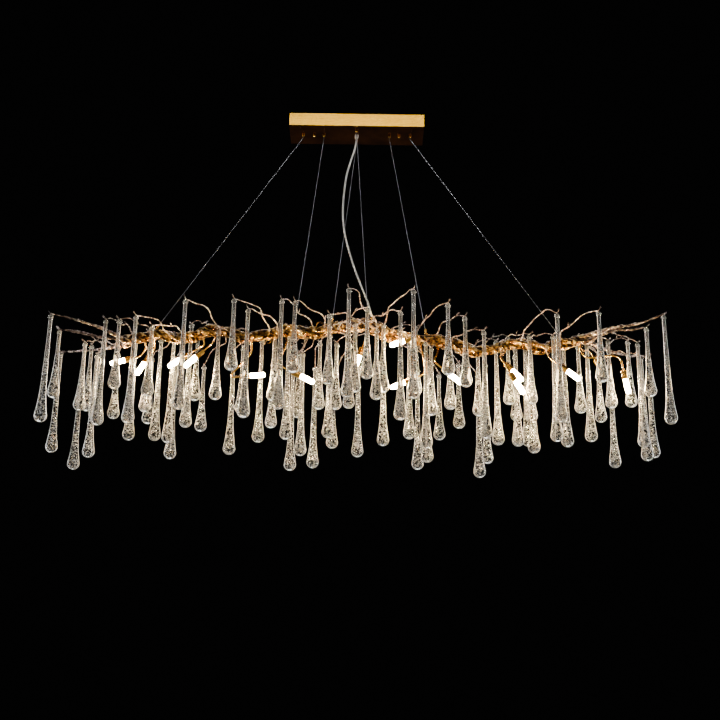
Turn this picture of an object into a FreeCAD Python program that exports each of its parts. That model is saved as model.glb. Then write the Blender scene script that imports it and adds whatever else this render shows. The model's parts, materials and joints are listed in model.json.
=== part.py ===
import FreeCAD, Part
import math
import os
import Sketcher

# Oblong branch chandelier: a gold ceiling canopy, six steel wires and a power cord, a twisted
# metal branch with thin twigs, small tube lamps on bent arms, and about ninety solid glass
# drops that each hang on a wire ring under the tip of a twig.
#
# Frame: millimetres, +Z up, the origin in the middle of the ceiling face of the canopy,
# +X along the branch, the viewer on the -Y side. Everything hangs below z = 0.

Vector = FreeCAD.Vector
UP = Vector(0, 0, 1)
DOWN = Vector(0, 0, -1)

doc = FreeCAD.newDocument("branch_chandelier")

# ---------------------------------------------------------------- driving dimensions

DRIVING_SIZES = (
    # ceiling canopy and what is inside it
    ("canopy_length", 400), ("canopy_width", 110), ("canopy_height", 40), ("canopy_sheet", 1.5),
    ("bracket_width", 84), ("bracket_sheet", 2.5), ("bracket_drop", 12), ("bracket_end_gap", 30),
    ("ear_length", 15), ("slot_width", 5.5), ("slot_length", 10), ("slot_spacing", 50),
    ("stud_place", 127), ("stud_diameter", 4), ("cap_nut_flats", 7), ("cap_nut_height", 6),
    ("outer_wire_place", 160), ("inner_wire_place", 98), ("middle_wire_depth", 28),
    ("gripper_diameter", 8), ("gripper_below", 6), ("gripper_stub", 6), ("nut_flats", 10),
    ("nut_height", 5), ("gland_diameter", 11), ("gland_below", 13), ("gland_flange", 17),
    ("block_length", 34), ("block_width", 16), ("block_height", 14), ("block_place", 45),
    ("hole_clearance", 0.4), ("seat_gap", 0.2),
    # wires and cord
    ("wire_diameter", 1.5), ("cord_diameter", 5), ("lug_ball", 9), ("lug_neck", 5),
    ("lug_length", 14), ("ferrule_diameter", 9), ("ferrule_length", 14),
    # branch and twigs
    ("branch_level", 690), ("strand_radius", 7.2), ("strand_gap", 0.6), ("twist_lead", 210),
    ("twig_root_radius", 2.5), ("twig_tip_radius", 1.3), ("bud_length", 13),
    # lamps
    ("arm_diameter", 5), ("socket_diameter", 16), ("socket_bore", 14), ("socket_length", 26),
    ("socket_base", 3), ("lamp_diameter", 13.4), ("lamp_reach", 42),
    # glass drops and their rings
    ("rod_diameter", 9.5), ("rod_length", 60), ("neck_radius", 8), ("bulb_radius", 17.5),
    ("long_drop", 305), ("long_neck", 195), ("short_drop", 200), ("short_neck", 112),
    ("rod_chamfer", 1.6), ("pin_below_top", 6), ("pin_diameter", 1.6), ("pin_clearance", 0.3),
    ("ring_rise", 10.4), ("ring_corner", 1.8),
)

sheet = doc.addObject("Spreadsheet::Sheet", "sizes")
for line_number, (alias, number) in enumerate(DRIVING_SIZES, start=1):
    sheet.set(f"A{line_number}", alias)
    sheet.set(f"B{line_number}", str(number))
    sheet.setAlias(f"B{line_number}", alias)
doc.recompute()


class Length:
    """A number of millimetres together with the sheet expression that it comes from."""

    def __init__(self, value, text):
        self.value = float(value)
        self.text = text

    def __add__(self, other):
        return Length(self.value + number_of(other), f"({self.text} + {text_of(other)})")

    def __sub__(self, other):
        return Length(self.value - number_of(other), f"({self.text} - {text_of(other)})")

    def __mul__(self, other):
        return Length(self.value * number_of(other), f"({self.text} * {text_of(other)})")

    def __truediv__(self, other):
        return Length(self.value / number_of(other), f"({self.text} / {text_of(other)})")

    def __neg__(self):
        return Length(-self.value, f"(0 - {self.text})")


def number_of(length):
    return length.value if isinstance(length, Length) else float(length)


def text_of(length):
    return length.text if isinstance(length, Length) else f"{float(length):.9g}"


class Sizes:
    """The sheet's cells by name: tied.rod_length keeps its expression, mm.rod_length is a number."""

    def __init__(self, wrap):
        for alias, _ in DRIVING_SIZES:
            value = float(getattr(sheet, alias))
            setattr(self, alias, Length(value, f"sizes.{alias}") if wrap else value)


tied = Sizes(wrap=True)
mm = Sizes(wrap=False)
ZERO = Length(0, "0")

# ---------------------------------------------------------------- small builders

sub_parts = {}


def keep(label, shape_owner):
    """Name a finished sub-part; its label is the name of its file."""
    shape_owner.Label = label
    sub_parts[label] = shape_owner
    return shape_owner


def tie(thing, name, length):
    """Set a property to a length and bind it to the sheet."""
    setattr(thing, name, number_of(length))
    thing.setExpression(name, text_of(length))


def new_sketch(body, name, role):
    """A sketch lying on one of its own body's origin planes."""
    plane = next(f for f in body.Origin.OriginFeatures if f.Role == role)
    sketch = body.newObject("Sketcher::SketchObject", name)
    sketch.AttachmentSupport = [(plane, "")]
    sketch.MapMode = "FlatFace"
    return sketch


def fix_point(sketch, geometry, corner, place):
    """Hold one point of a sketch at tied distances from the sketch's origin."""
    for kind, length in zip(("DistanceX", "DistanceY"), place):
        index = sketch.addConstraint(Sketcher.Constraint(kind, geometry, corner, number_of(length)))
        sketch.setExpression(f"Constraints[{index}]", text_of(length))


def at(place):
    return Vector(number_of(place[0]), number_of(place[1]), 0)


def draw_outline(sketch, corners):
    """A closed outline of straight lines through tied corners."""
    first = sketch.GeometryCount
    count = len(corners)
    for i, corner in enumerate(corners):
        following = corners[(i + 1) % count]
        sketch.addGeometry(Part.LineSegment(at(corner), at(following)), False)
    for i in range(count):
        joint = Sketcher.Constraint("Coincident", first + i, 2, first + (i + 1) % count, 1)
        sketch.addConstraint(joint)
    for i, corner in enumerate(corners):
        fix_point(sketch, first + i, 1, corner)


def draw_rectangle(sketch, width, height):
    draw_outline(sketch, [(-width / 2, -height / 2), (width / 2, -height / 2),
                          (width / 2, height / 2), (-width / 2, height / 2)])


def draw_circle(sketch, place, diameter):
    index = sketch.addGeometry(Part.Circle(at(place), Vector(0, 0, 1), number_of(diameter) / 2), False)
    fix_point(sketch, index, 3, place)
    round_size = sketch.addConstraint(Sketcher.Constraint("Diameter", index, number_of(diameter)))
    sketch.setExpression(f"Constraints[{round_size}]", text_of(diameter))


def draw_slot(sketch, place, width, length):
    """A slot that runs along the sketch's first axis."""
    x, y = place
    half = (length - width) / 2
    radius = number_of(width) / 2
    right, left = at((x + half, y)), at((x - half, y))
    side = Vector(0, radius, 0)
    right_arc = sketch.addGeometry(Part.ArcOfCircle(
        Part.Circle(right, UP, radius), -math.pi / 2, math.pi / 2), False)
    top = sketch.addGeometry(Part.LineSegment(right + side, left + side), False)
    left_arc = sketch.addGeometry(Part.ArcOfCircle(
        Part.Circle(left, UP, radius), math.pi / 2, 3 * math.pi / 2), False)
    bottom = sketch.addGeometry(Part.LineSegment(left - side, right - side), False)
    for one, other in ((right_arc, top), (top, left_arc), (left_arc, bottom), (bottom, right_arc)):
        sketch.addConstraint(Sketcher.Constraint("Tangent", one, 2, other, 1))
    for arc, centre in ((right_arc, (x + half, y)), (left_arc, (x - half, y))):
        fix_point(sketch, arc, 3, centre)
        round_size = sketch.addConstraint(Sketcher.Constraint("Radius", arc, radius))
        sketch.setExpression(f"Constraints[{round_size}]", text_of(width / 2))


def pad(body, name, sketch, length, downwards=False, both_ways=False):
    feature = body.newObject("PartDesign::Pad", name)
    feature.Profile = sketch
    feature.Reversed = downwards
    feature.Midplane = both_ways
    tie(feature, "Length", length)
    return feature


def pocket(body, name, sketch, depth=None, both_ways=False):
    """Cut downwards from the sketch, or right through when no depth is given."""
    before = body.Shape.Volume
    feature = body.newObject("PartDesign::Pocket", name)
    feature.Profile = sketch
    feature.Midplane = both_ways
    if depth is None:
        feature.Type = "ThroughAll"
    else:
        tie(feature, "Length", depth)
    doc.recompute()
    if body.Shape.Volume >= before:
        raise ValueError(f"{name} cuts nothing")
    return feature


def revolution(body, name, sketch, role):
    axis = next(f for f in body.Origin.OriginFeatures if f.Role == role)
    feature = body.newObject("PartDesign::Revolution", name)
    feature.Profile = sketch
    feature.ReferenceAxis = (axis, [""])
    feature.Angle = 360
    return feature


def new_body(name):
    return doc.addObject("PartDesign::Body", name)


def shape_part(label, shape):
    """A sub-part whose shape comes from Part's own functions."""
    holder = doc.addObject("Part::Feature", label)
    holder.Shape = shape
    holder.Placement = FreeCAD.Placement()
    return keep(label, holder)


def placed(shape, place, turn=None):
    """A copy of a shape at a place, turned first."""
    copy = shape.copy()
    copy.Placement = FreeCAD.Placement(place, turn or FreeCAD.Rotation())
    return copy


def turned_up_to(direction):
    """The rotation that takes +Z to a direction."""
    return FreeCAD.Rotation(UP, direction)


# ---------------------------------------------------------------- paths and tubes


def unit(vector):
    return vector * (1.0 / vector.Length)


def rounded_path(points, reach=None):
    """Straight runs joined by tangent arcs. Returns the edges and the arcs' radii.

    Each arc starts and ends at the same reach from its corner, which is 0.45 of the shorter
    run beside it unless it is given.
    """
    edges, radii = [], []
    start = points[0]
    for before, corner, after in zip(points, points[1:], points[2:]):
        back, ahead = before - corner, after - corner
        arm = reach or 0.45 * min(back.Length, ahead.Length)
        back, ahead = unit(back), unit(ahead)
        half_turn = (math.pi - back.getAngle(ahead)) / 2
        arc_start, arc_end = corner + back * arm, corner + ahead * arm
        inwards = unit(back + ahead)
        radius = arm / math.tan(half_turn)
        middle = corner + inwards * (radius / math.cos(half_turn) - radius)
        edges.append(Part.LineSegment(start, arc_start).toShape())
        edges.append(Part.Arc(arc_start, middle, arc_end).toShape())
        radii.append(radius)
        start = arc_end
    edges.append(Part.LineSegment(start, points[-1]).toShape())
    return edges, radii


def round_tube(points, diameter, reach=None):
    """A round rod along a rounded path. Returns the solid, its radii and its length."""
    edges, radii = rounded_path(points, reach)
    spine = Part.Wire(edges)
    rim = Part.Circle(points[0], points[1] - points[0], diameter / 2).toShape()
    solid = spine.makePipeShell([Part.Wire([rim])], True, False)
    expected = spine.Length * math.pi * diameter ** 2 / 4
    if abs(solid.Volume - expected) > 0.01 * expected:
        raise ValueError("a tube's volume isn't its section times its length")
    return solid, radii, spine.Length


def faceted_tube(points, radii, sides):
    """A gnarled rod of flat facets through rings of the given radii, closed at both ends."""
    rings = []
    across = None
    last = len(points) - 1
    for i, (centre, radius) in enumerate(zip(points, radii)):
        along = unit(points[min(i + 1, last)] - points[max(i - 1, 0)])
        if across is None:
            across = along.cross(UP) if abs(along.z) < 0.9 else along.cross(Vector(0, 1, 0))
        across = unit(across - along * across.dot(along))
        other = along.cross(across)
        angles = [2 * math.pi * k / sides for k in range(sides)]
        rings.append([centre + across * (radius * math.cos(a)) + other * (radius * math.sin(a))
                      for a in angles])
    triangles = []
    for low, high in zip(rings, rings[1:]):
        for k in range(sides):
            n = (k + 1) % sides
            triangles.append((low[k], low[n], high[n]))
            triangles.append((low[k], high[n], high[k]))
    faces = [Part.Face(Part.makePolygon([a, b, c, a])) for a, b, c in triangles]
    for ring in (rings[0], rings[-1]):
        faces.append(Part.Face(Part.makePolygon(ring + ring[:1])))
    shell = Part.Shell(faces)
    shell.sewShape()
    solid = Part.Solid(shell)
    if solid.Volume < 0:
        solid.reverse()
    return solid


def smooth_line(knots, steps):
    """A smooth line through a few knots (Catmull-Rom), with so many steps to each span."""
    line = []
    ends = [knots[0] * 2 - knots[1]] + knots + [knots[-1] * 2 - knots[-2]]
    for a, b, c, d in zip(ends, ends[1:], ends[2:], ends[3:]):
        for i in range(steps):
            t = i / steps
            line.append((b * 2 + (c - a) * t + (a * 2 - b * 5 + c * 4 - d) * t ** 2
                         + (b * 3 - a - c * 3 + d) * t ** 3) * 0.5)
    line.append(knots[-1])
    return line


# ---------------------------------------------------------------- glass drops


def add_drop_outline(sketch, length, neck):
    """Half of a drop: straight rod, slowly widening neck, hollow flare and round bulb.

    The sketch's second axis is the drop's own axis, and its origin is the middle of the
    cross hole that the ring goes through.
    """
    top = tied.pin_below_top
    rod, chamfer, bulb = tied.rod_diameter / 2, tied.rod_chamfer, tied.bulb_radius
    rod_end, neck_end, bottom = top - tied.rod_length, top - neck, top - length
    corners = [(ZERO, top), (rod - chamfer, top), (rod, top - chamfer),
               (rod, rod_end), (tied.neck_radius, neck_end)]
    for one, following in zip(corners, corners[1:]):
        sketch.addGeometry(Part.LineSegment(at(one), at(following)), False)
    b, big = mm.neck_radius, mm.bulb_radius
    centre = number_of(bottom) + big
    slope = math.atan2(b - number_of(rod), number_of(rod_end - neck_end))
    height = number_of(neck_end) - centre
    flare = (b * b + height * height - big * big) / (
        2 * (big - b * math.cos(slope) - height * math.sin(slope)))
    middle = Vector(b + flare * math.cos(slope), number_of(neck_end) + flare * math.sin(slope), 0)
    to_middle = math.atan2(middle.y - centre, middle.x)
    flare_arc = sketch.addGeometry(Part.ArcOfCircle(
        Part.Circle(middle, UP, flare), math.pi + slope, math.pi + to_middle), False)
    bulb_arc = sketch.addGeometry(Part.ArcOfCircle(
        Part.Circle(Vector(0, centre, 0), UP, big), -math.pi / 2, to_middle), False)
    axis = sketch.addGeometry(Part.LineSegment(Vector(0, number_of(bottom), 0), at(corners[0])), False)
    for i in range(3):
        sketch.addConstraint(Sketcher.Constraint("Coincident", i, 2, i + 1, 1))
    sketch.addConstraint(Sketcher.Constraint("Tangent", 3, 2, flare_arc, 1))
    sketch.addConstraint(Sketcher.Constraint("Tangent", flare_arc, 2, bulb_arc, 2))
    sketch.addConstraint(Sketcher.Constraint("Coincident", bulb_arc, 1, axis, 1))
    sketch.addConstraint(Sketcher.Constraint("Coincident", axis, 2, 0, 1))
    for i, corner in enumerate(corners[:4]):
        fix_point(sketch, i, 1, corner)
    fix_point(sketch, 3, 2, corners[4])
    fix_point(sketch, axis, 1, (ZERO, bottom))
    sketch.addConstraint(Sketcher.Constraint("PointOnObject", bulb_arc, 3, axis))
    round_size = sketch.addConstraint(Sketcher.Constraint("Radius", bulb_arc, big))
    sketch.setExpression(f"Constraints[{round_size}]", text_of(bulb))


def drop_body(name, length, neck):
    body = new_body(name)
    profile = new_sketch(body, name + "_profile", "XZ_Plane")
    add_drop_outline(profile, length, neck)
    revolution(body, name + "_glass", profile, "Z_Axis")
    doc.recompute()
    cross = new_sketch(body, name + "_hole_circle", "YZ_Plane")
    draw_circle(cross, (ZERO, ZERO), tied.pin_diameter + tied.pin_clearance * 2)
    pocket(body, name + "_hole", cross, depth=tied.rod_diameter * 2, both_ways=True)
    return body


long_drop = drop_body("long_drop", tied.long_drop, tied.long_neck)
short_drop = drop_body("short_drop", tied.short_drop, tied.short_neck)


class Row:
    """A line of drops whose rings share one level line along X, so one axis serves them all."""

    def __init__(self, y, z, long=(), short=()):
        self.y = y
        self.z = z
        self.long = long
        self.short = short

    def places(self):
        kinds = [(x, long_drop) for x in self.long] + [(x, short_drop) for x in self.short]
        return sorted(kinds, key=lambda kind: kind[0])


# y, height of the ring pins over the branch line, then the place of each drop along X.
# They follow the photograph: the front rows are the ones whose rods cross the branch there.
DROP_ROWS = (
    Row(-205, 48, long=(-12, 161)),
    Row(-205, 9, long=(-449,), short=(-156, 253)),
    Row(-195, 17, long=(-192,), short=(-320,)),
    Row(-167, 9, short=(38, 663)),
    Row(-157, 4, long=(-285, 128, 552, 841)),
    Row(-118, 8, short=(-65, 306)),
    Row(-113, -2, long=(-829, -596)),
    Row(-99, -26, long=(359,), short=(-552, 65)),
    Row(-46, 12, long=(-692,), short=(-654, 6, 84, 819)),
    Row(-45, -15, long=(557,), short=(-375, 491)),
    Row(-34, -36, long=(203,)),
    Row(38, 11, long=(-66, 666), short=(-840, -224, 441)),
    Row(39, -2, long=(407, 812)),
    Row(40, 36, long=(-464,), short=(179,)),
    Row(45, 7, long=(-184,), short=(729,)),
    Row(52, -20, long=(508,), short=(-767, 223, 356)),
    Row(75, 6, long=(-263, 467, 606), short=(278,)),
    Row(88, 5, long=(-519, 88), short=(-96, -48, 650)),
    Row(99, -24, long=(-345, -145, 833)),
    Row(114, 34, long=(163,), short=(-454, 801)),
    Row(117, -33, long=(-744, 214)),
    Row(130, 23, long=(-637, -563, 502), short=(-11,)),
    Row(148, -54, long=(-175,)),
    Row(151, 10, short=(-770, -601, -324)),
    Row(154, -65, long=(365,)),
    Row(192, 12, long=(876,), short=(-161, 480, 525, 727)),
    Row(202, -17, long=(763,), short=(-238,)),
    Row(205, -9, long=(-527, 393), short=(-599, 313)),
    Row(205, -45, long=(-804,), short=(255,)),
    Row(205, 5, long=(-872, 16), short=(-757, -701)),
    Row(205, -30, long=(-113, 191), short=(-443,)),
    Row(205, -75, short=(-58,)),
)


def ring_shape():
    """A closed wire ring: a straight pin through the drop, two sides and a round top."""
    wire = mm.pin_diameter
    half = mm.rod_diameter / 2 + 0.1 * wire
    corner = mm.ring_corner
    side = half + corner
    shoulder = mm.ring_rise - side
    low, rim = Vector(0, 0, 0), wire / 2
    edges = [
        Part.LineSegment(Vector(-half, 0, 0), Vector(half, 0, 0)).toShape(),
        Part.Arc(Vector(half, 0, 0),
                 Vector(half + corner * math.sin(math.pi / 4), 0, corner * (1 - math.cos(math.pi / 4))),
                 Vector(side, 0, corner)).toShape(),
        Part.LineSegment(Vector(side, 0, corner), Vector(side, 0, shoulder)).toShape(),
        Part.Arc(Vector(side, 0, shoulder), Vector(0, 0, shoulder + side),
                 Vector(-side, 0, shoulder)).toShape(),
        Part.LineSegment(Vector(-side, 0, shoulder), Vector(-side, 0, corner)).toShape(),
        Part.Arc(Vector(-side, 0, corner),
                 Vector(-half - corner * math.sin(math.pi / 4), 0, corner * (1 - math.cos(math.pi / 4))),
                 Vector(-half, 0, 0)).toShape(),
    ]
    section = Part.Wire([Part.Circle(low, Vector(1, 0, 0), rim).toShape()])
    return Part.Wire(edges).makePipeShell([section], True, False)


drop_places = []
for row_number, row in enumerate(DROP_ROWS, start=1):
    copies = []
    for x, body in row.places():
        place = Vector(x, row.y, row.z - mm.branch_level)
        copies.append(placed(body.Shape, place))
        drop_places.append((place, body))
    shape_part(f"drops_{row_number:02d}", Part.makeCompound(copies))

ring = ring_shape()
shape_part("drop_rings", Part.makeCompound([placed(ring, place) for place, _ in drop_places]))

# ---------------------------------------------------------------- branch of three strands

# The branch's middle line: x, y and height over the branch line.
BRANCH_KNOTS = (
    (-640, 0, -24), (-555, 6, -2), (-475, -6, -15), (-390, 4, 14), (-318, -8, -8),
    (-255, 2, 2), (-178, 8, 18), (-122, -4, 6), (-65, -6, 20), (5, 4, 35), (50, 6, 34),
    (92, -4, 8), (135, -8, -6), (215, 4, -5), (275, 8, -11), (318, 0, -33), (358, -8, -42),
    (413, -4, -27), (470, 6, -11), (528, 8, -24), (585, -6, -17), (655, 0, 1),
)
BRANCH_STEPS = 4
TWIST_SPREAD = 1.04
ROOM_REACH = 5
STRAND_SIDES = 8
TWIG_SIDES = 5

# Each strand runs on past the bundle as a free end, to the ring of an outermost drop.
LEFT_ENDS = (
    ((-705, -30, 2), (-770, -78, 8), (-829, -113, -2)),
    ((-710, 22, -6), (-785, 30, 14), (-840, 38, 11)),
    ((-700, 60, -22), (-775, 128, -6), (-872, 205, 5)),
)
RIGHT_ENDS = (
    ((720, -50, 18), (785, -105, 10), (841, -157, 4)),
    ((728, -16, 24), (775, -34, 18), (819, -46, 12)),
    ((715, 66, 2), (790, 130, 6), (876, 192, 12)),
)


def over_ring(x, y, rise, radius):
    """The middle of a twig that carries the ring of the drop at this place."""
    height = rise - mm.branch_level + mm.ring_rise + mm.pin_diameter / 2 + mm.seat_gap + radius
    return Vector(x, y, height)


def gnarl(x):
    """How the bundle swells and narrows along its length."""
    return 1.0 + 0.10 * math.sin(x / 37.0) + 0.06 * math.sin(x / 13.0 + 1.0)


def free_end(knots, root, outwards):
    """The free end of a strand from its root in the bundle to over its ring."""
    line = [Vector(x, y, z - mm.branch_level) for x, y, z in knots[:-1]]
    last = over_ring(*knots[-1], mm.twig_tip_radius)
    bud = last + outwards * (0.75 * mm.bud_length) + UP * (0.66 * mm.bud_length)
    return smooth_line([root] + line + [last], 5)[1:] + [bud]


def distance_to_run(point, start, end):
    """How far a point lies from a straight run."""
    run = end - start
    share = min(1.0, max(0.0, (point - start).dot(run) / run.dot(run)))
    return (start + run * share - point).Length


def room_beside(strands, k, i):
    """Half of the distance from a strand's point to the nearest other strand, less half the gap."""
    low, high = max(i - ROOM_REACH, 0), min(i + ROOM_REACH, len(strands[k][0]) - 1)
    nearest = min(distance_to_run(strands[k][0][i], strands[n][0][j], strands[n][0][j + 1])
                  for n in range(3) if n != k for j in range(low, high))
    return (nearest - mm.strand_gap) / 2


def make_strands():
    """The three strands: the points and radii of each, from the left end to the right."""
    knots = [Vector(x, y, z - mm.branch_level) for x, y, z in BRANCH_KNOTS]
    middle = smooth_line(knots, BRANCH_STEPS)
    strands = []
    for k in range(3):
        points, radii = [], []
        for i, centre in enumerate(middle):
            along = unit(middle[min(i + 1, len(middle) - 1)] - middle[max(i - 1, 0)])
            side = unit(along.cross(UP))
            above = side.cross(along)
            radius = mm.strand_radius * gnarl(centre.x)
            offset = TWIST_SPREAD * (2 * radius + mm.strand_gap) / math.sqrt(3)
            angle = 2 * math.pi * (k / 3 + centre.x / mm.twist_lead)
            points.append(centre + above * (offset * math.cos(angle)) + side * (offset * math.sin(angle)))
            radii.append(radius)
        strands.append((points, radii))
    return [(points, [min(radius, room_beside(strands, k, i)) for i, radius in enumerate(radii)])
            for k, (points, radii) in enumerate(strands)]


def with_ends(strand, left, right):
    points, radii = strand
    bundle = len(points)
    before = free_end(left, points[0], Vector(-1, 0, 0))[::-1]
    after = free_end(right, points[-1], Vector(1, 0, 0))
    tip, root = mm.twig_tip_radius, mm.strand_radius * 0.9

    def taper(count):
        """Radii from the bundle outwards: over the ring the tip radius, then the bud."""
        steps = count - 1
        sizes = [root + (tip - root) * min(1.0, (i + 1) / (steps - 1)) ** 0.6 for i in range(steps)]
        return sizes + [tip * 0.55]

    return (before + points + after,
            taper(len(before))[::-1] + radii + taper(len(after)), len(before), bundle)


def matching_ends(strands):
    """Give each free end to the strand that leaves the bundle nearest to its side."""
    paired = []
    for at_end, ends in ((0, LEFT_ENDS), (-1, RIGHT_ENDS)):
        by_depth = sorted(range(3), key=lambda k: strands[k][0][at_end].y)
        chosen = sorted(ends, key=lambda knots: knots[0][1])
        paired.append({k: knots for k, knots in zip(by_depth, chosen)})
    return paired


bare_strands = make_strands()
left_of, right_of = matching_ends(bare_strands)
strands = [with_ends(bare_strands[k], left_of[k], right_of[k]) for k in range(3)]
for k, (points, radii, _, _) in enumerate(strands):
    shape_part(f"branch_strand_{'abc'[k]}", faceted_tube(points, radii, STRAND_SIDES))


def bundle_seat(x, direction):
    """A place on the outermost strand at x, facing a direction, and that direction squared up."""
    best = None
    for points, radii, first, count in strands:
        i = next(n for n in range(first, first + count) if points[n].x <= x <= points[n + 1].x)
        step = points[i + 1] - points[i]
        share = (x - points[i].x) / step.x
        radius = radii[i] + (radii[i + 1] - radii[i]) * share
        along = unit(step)
        facing = unit(direction - along * direction.dot(along))
        seat = points[i] + step * share + facing * (radius + mm.seat_gap)
        if best is None or seat.dot(direction) > best[0].dot(direction):
            best = (seat, facing)
    return best


# ---------------------------------------------------------------- lamps on bent arms


class Lamp:
    """A tube lamp: the tip of its glass, its plan heading and its dip in degrees, its root."""

    def __init__(self, tip, heading, dip, root_x):
        self.tip = Vector(tip[0], tip[1], tip[2] - mm.branch_level)
        flat, down = math.radians(heading), math.radians(dip)
        self.along = Vector(math.cos(flat) * math.cos(down), math.sin(flat) * math.cos(down),
                            -math.sin(down))
        self.root_x = root_x


LAMPS = (
    Lamp((-684, 23, -84), 180, 16, -588), Lamp((-622, 95, -90), 180, 60, -566),
    Lamp((-527, 64, -76), 180, 35, -425), Lamp((-461, -71, -124), 180, 44, -398),
    Lamp((-246, 22, -110), 0, -6, -290), Lamp((-105, -44, -155), 0, 27, -192),
    Lamp((5, 102, -60), 180, 72, 36), Lamp((102, -60, -49), 180, 21, 176),
    Lamp((106, -13, -156), 180, 24, 188), Lamp((301, -40, -150), 0, 40, 236),
    Lamp((468, -54, -144), 0, 47, 420), Lamp((464, -93, -195), 0, 60, 404),
    Lamp((620, -79, -148), 0, 38, 548), Lamp((733, 95, -84), 0, 61, 640),
    Lamp((769, 0, -158), 0, 81, 640),
)


def socket_body():
    """A drawn brass cup, open at its far end, with its axis along Z and its back at the origin."""
    body = new_body("socket")
    outside = new_sketch(body, "socket_outside", "XY_Plane")
    draw_circle(outside, (ZERO, ZERO), tied.socket_diameter)
    pad(body, "socket_wall", outside, tied.socket_length)
    doc.recompute()
    bore = new_sketch(body, "socket_bore_circle", "XY_Plane")
    bore.AttachmentOffset = FreeCAD.Placement(Vector(0, 0, mm.socket_length), FreeCAD.Rotation())
    bore.setExpression("AttachmentOffset.Base.z", "sizes.socket_length")
    draw_circle(bore, (ZERO, ZERO), tied.socket_bore)
    pocket(body, "socket_hollow", bore, depth=tied.socket_length - tied.socket_base)
    return body


def lamp_shape():
    """A tube lamp: a glass tube with a round tip, its foot inside the socket."""
    radius = mm.lamp_diameter / 2
    foot = mm.socket_base + mm.seat_gap
    straight = mm.socket_length + mm.lamp_reach - foot - radius
    tube = Part.makeCylinder(radius, straight, Vector(0, 0, foot))
    tip = Part.makeSphere(radius, Vector(0, 0, foot + straight))
    return tube.fuse(tip).removeSplitter()


socket = socket_body()
lamp_glass = lamp_shape()
arms, sockets, glasses, arm_lines = [], [], [], []
for lamp in LAMPS:
    back = lamp.tip - lamp.along * (mm.socket_length + mm.lamp_reach)
    turn = turned_up_to(lamp.along)
    sockets.append(placed(socket.Shape, back, turn))
    glasses.append(placed(lamp_glass, back, turn))
    seat, facing = bundle_seat(lamp.root_x, unit(Vector(0, back.y * 0.02, -1)))
    end = back - lamp.along * mm.seat_gap
    gap = (end - seat).Length
    points = [seat, seat + facing * (0.3 * gap), end - lamp.along * (0.34 * gap), end]
    arm_lines.append(points)
    arms.append(round_tube(points, mm.arm_diameter)[0])
shape_part("lamp_arms", Part.makeCompound(arms))
shape_part("lamp_sockets", Part.makeCompound(sockets))
shape_part("lamp_tubes", Part.makeCompound(glasses))

# ---------------------------------------------------------------- canopy, bracket and fixings

cover = new_body("cover")
outside = new_sketch(cover, "cover_outside", "XY_Plane")
draw_rectangle(outside, tied.canopy_length, tied.canopy_width)
pad(cover, "cover_block", outside, tied.canopy_height, downwards=True)
doc.recompute()
inside = new_sketch(cover, "cover_inside", "XY_Plane")
draw_rectangle(inside, tied.canopy_length - tied.canopy_sheet * 2, tied.canopy_width - tied.canopy_sheet * 2)
pocket(cover, "cover_hollow", inside, depth=tied.canopy_height - tied.canopy_sheet)

WIRE_HOLES = (
    (-tied.outer_wire_place, ZERO), (-tied.inner_wire_place, ZERO),
    (ZERO, tied.middle_wire_depth), (ZERO, -tied.middle_wire_depth),
    (tied.inner_wire_place, ZERO), (tied.outer_wire_place, ZERO),
)
STUD_HOLES = ((-tied.stud_place, ZERO), (tied.stud_place, ZERO))

holes = new_sketch(cover, "cover_holes", "XY_Plane")
for place in WIRE_HOLES:
    draw_circle(holes, place, tied.gripper_diameter + tied.hole_clearance)
for place in STUD_HOLES:
    draw_circle(holes, place, tied.stud_diameter + tied.hole_clearance)
draw_circle(holes, (ZERO, ZERO), tied.gland_diameter + tied.hole_clearance)
pocket(cover, "cover_hole_cuts", holes)
keep("canopy_cover", cover)

bracket = new_body("bracket")
web_end = tied.canopy_length / 2 - tied.bracket_end_gap
web_top, sheet_thickness = -tied.bracket_drop, tied.bracket_sheet
ear_start = web_end + tied.bracket_drop
ear_end = ear_start + tied.ear_length
inner_step = sheet_thickness * math.tan(math.pi / 8)
side_view = new_sketch(bracket, "bracket_side_view", "XZ_Plane")
draw_outline(side_view, [
    (-ear_end, ZERO), (-ear_end, -sheet_thickness), (-ear_start, -sheet_thickness),
    (-web_end, web_top - sheet_thickness), (web_end, web_top - sheet_thickness),
    (ear_start, -sheet_thickness), (ear_end, -sheet_thickness), (ear_end, ZERO),
    (ear_start - inner_step, ZERO), (web_end - inner_step, web_top),
    (-(web_end - inner_step), web_top), (-(ear_start - inner_step), ZERO)])
pad(bracket, "bracket_strip", side_view, tied.bracket_width, both_ways=True)
doc.recompute()
bracket_holes = new_sketch(bracket, "bracket_hole_circles", "XY_Plane")
for place in WIRE_HOLES:
    draw_circle(bracket_holes, place, tied.gripper_stub + tied.hole_clearance)
slot_row = ear_start + tied.ear_length / 2
for across in (-slot_row, slot_row):
    for depth in (-tied.slot_spacing / 2, tied.slot_spacing / 2):
        draw_slot(bracket_holes, (across, depth), tied.slot_width, tied.slot_length)
draw_circle(bracket_holes, (ZERO, ZERO), tied.gland_flange)
pocket(bracket, "bracket_hole_cuts", bracket_holes)
keep("ceiling_bracket", bracket)

web_under = -(mm.bracket_drop + mm.bracket_sheet)
cover_under = -mm.canopy_height


def hexagon(flats, height):
    prism = Part.makePolygon([Vector(flats / math.sqrt(3) * math.cos(a * math.pi / 3),
                                     flats / math.sqrt(3) * math.sin(a * math.pi / 3), 0)
                              for a in range(7)])
    return Part.Face(prism).extrude(UP * height)


def stud_shape():
    length = mm.canopy_height + mm.cap_nut_height * 0.6 - (mm.bracket_drop + mm.bracket_sheet)
    return Part.makeCylinder(mm.stud_diameter / 2, length, Vector(0, 0, 0), DOWN)


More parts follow.
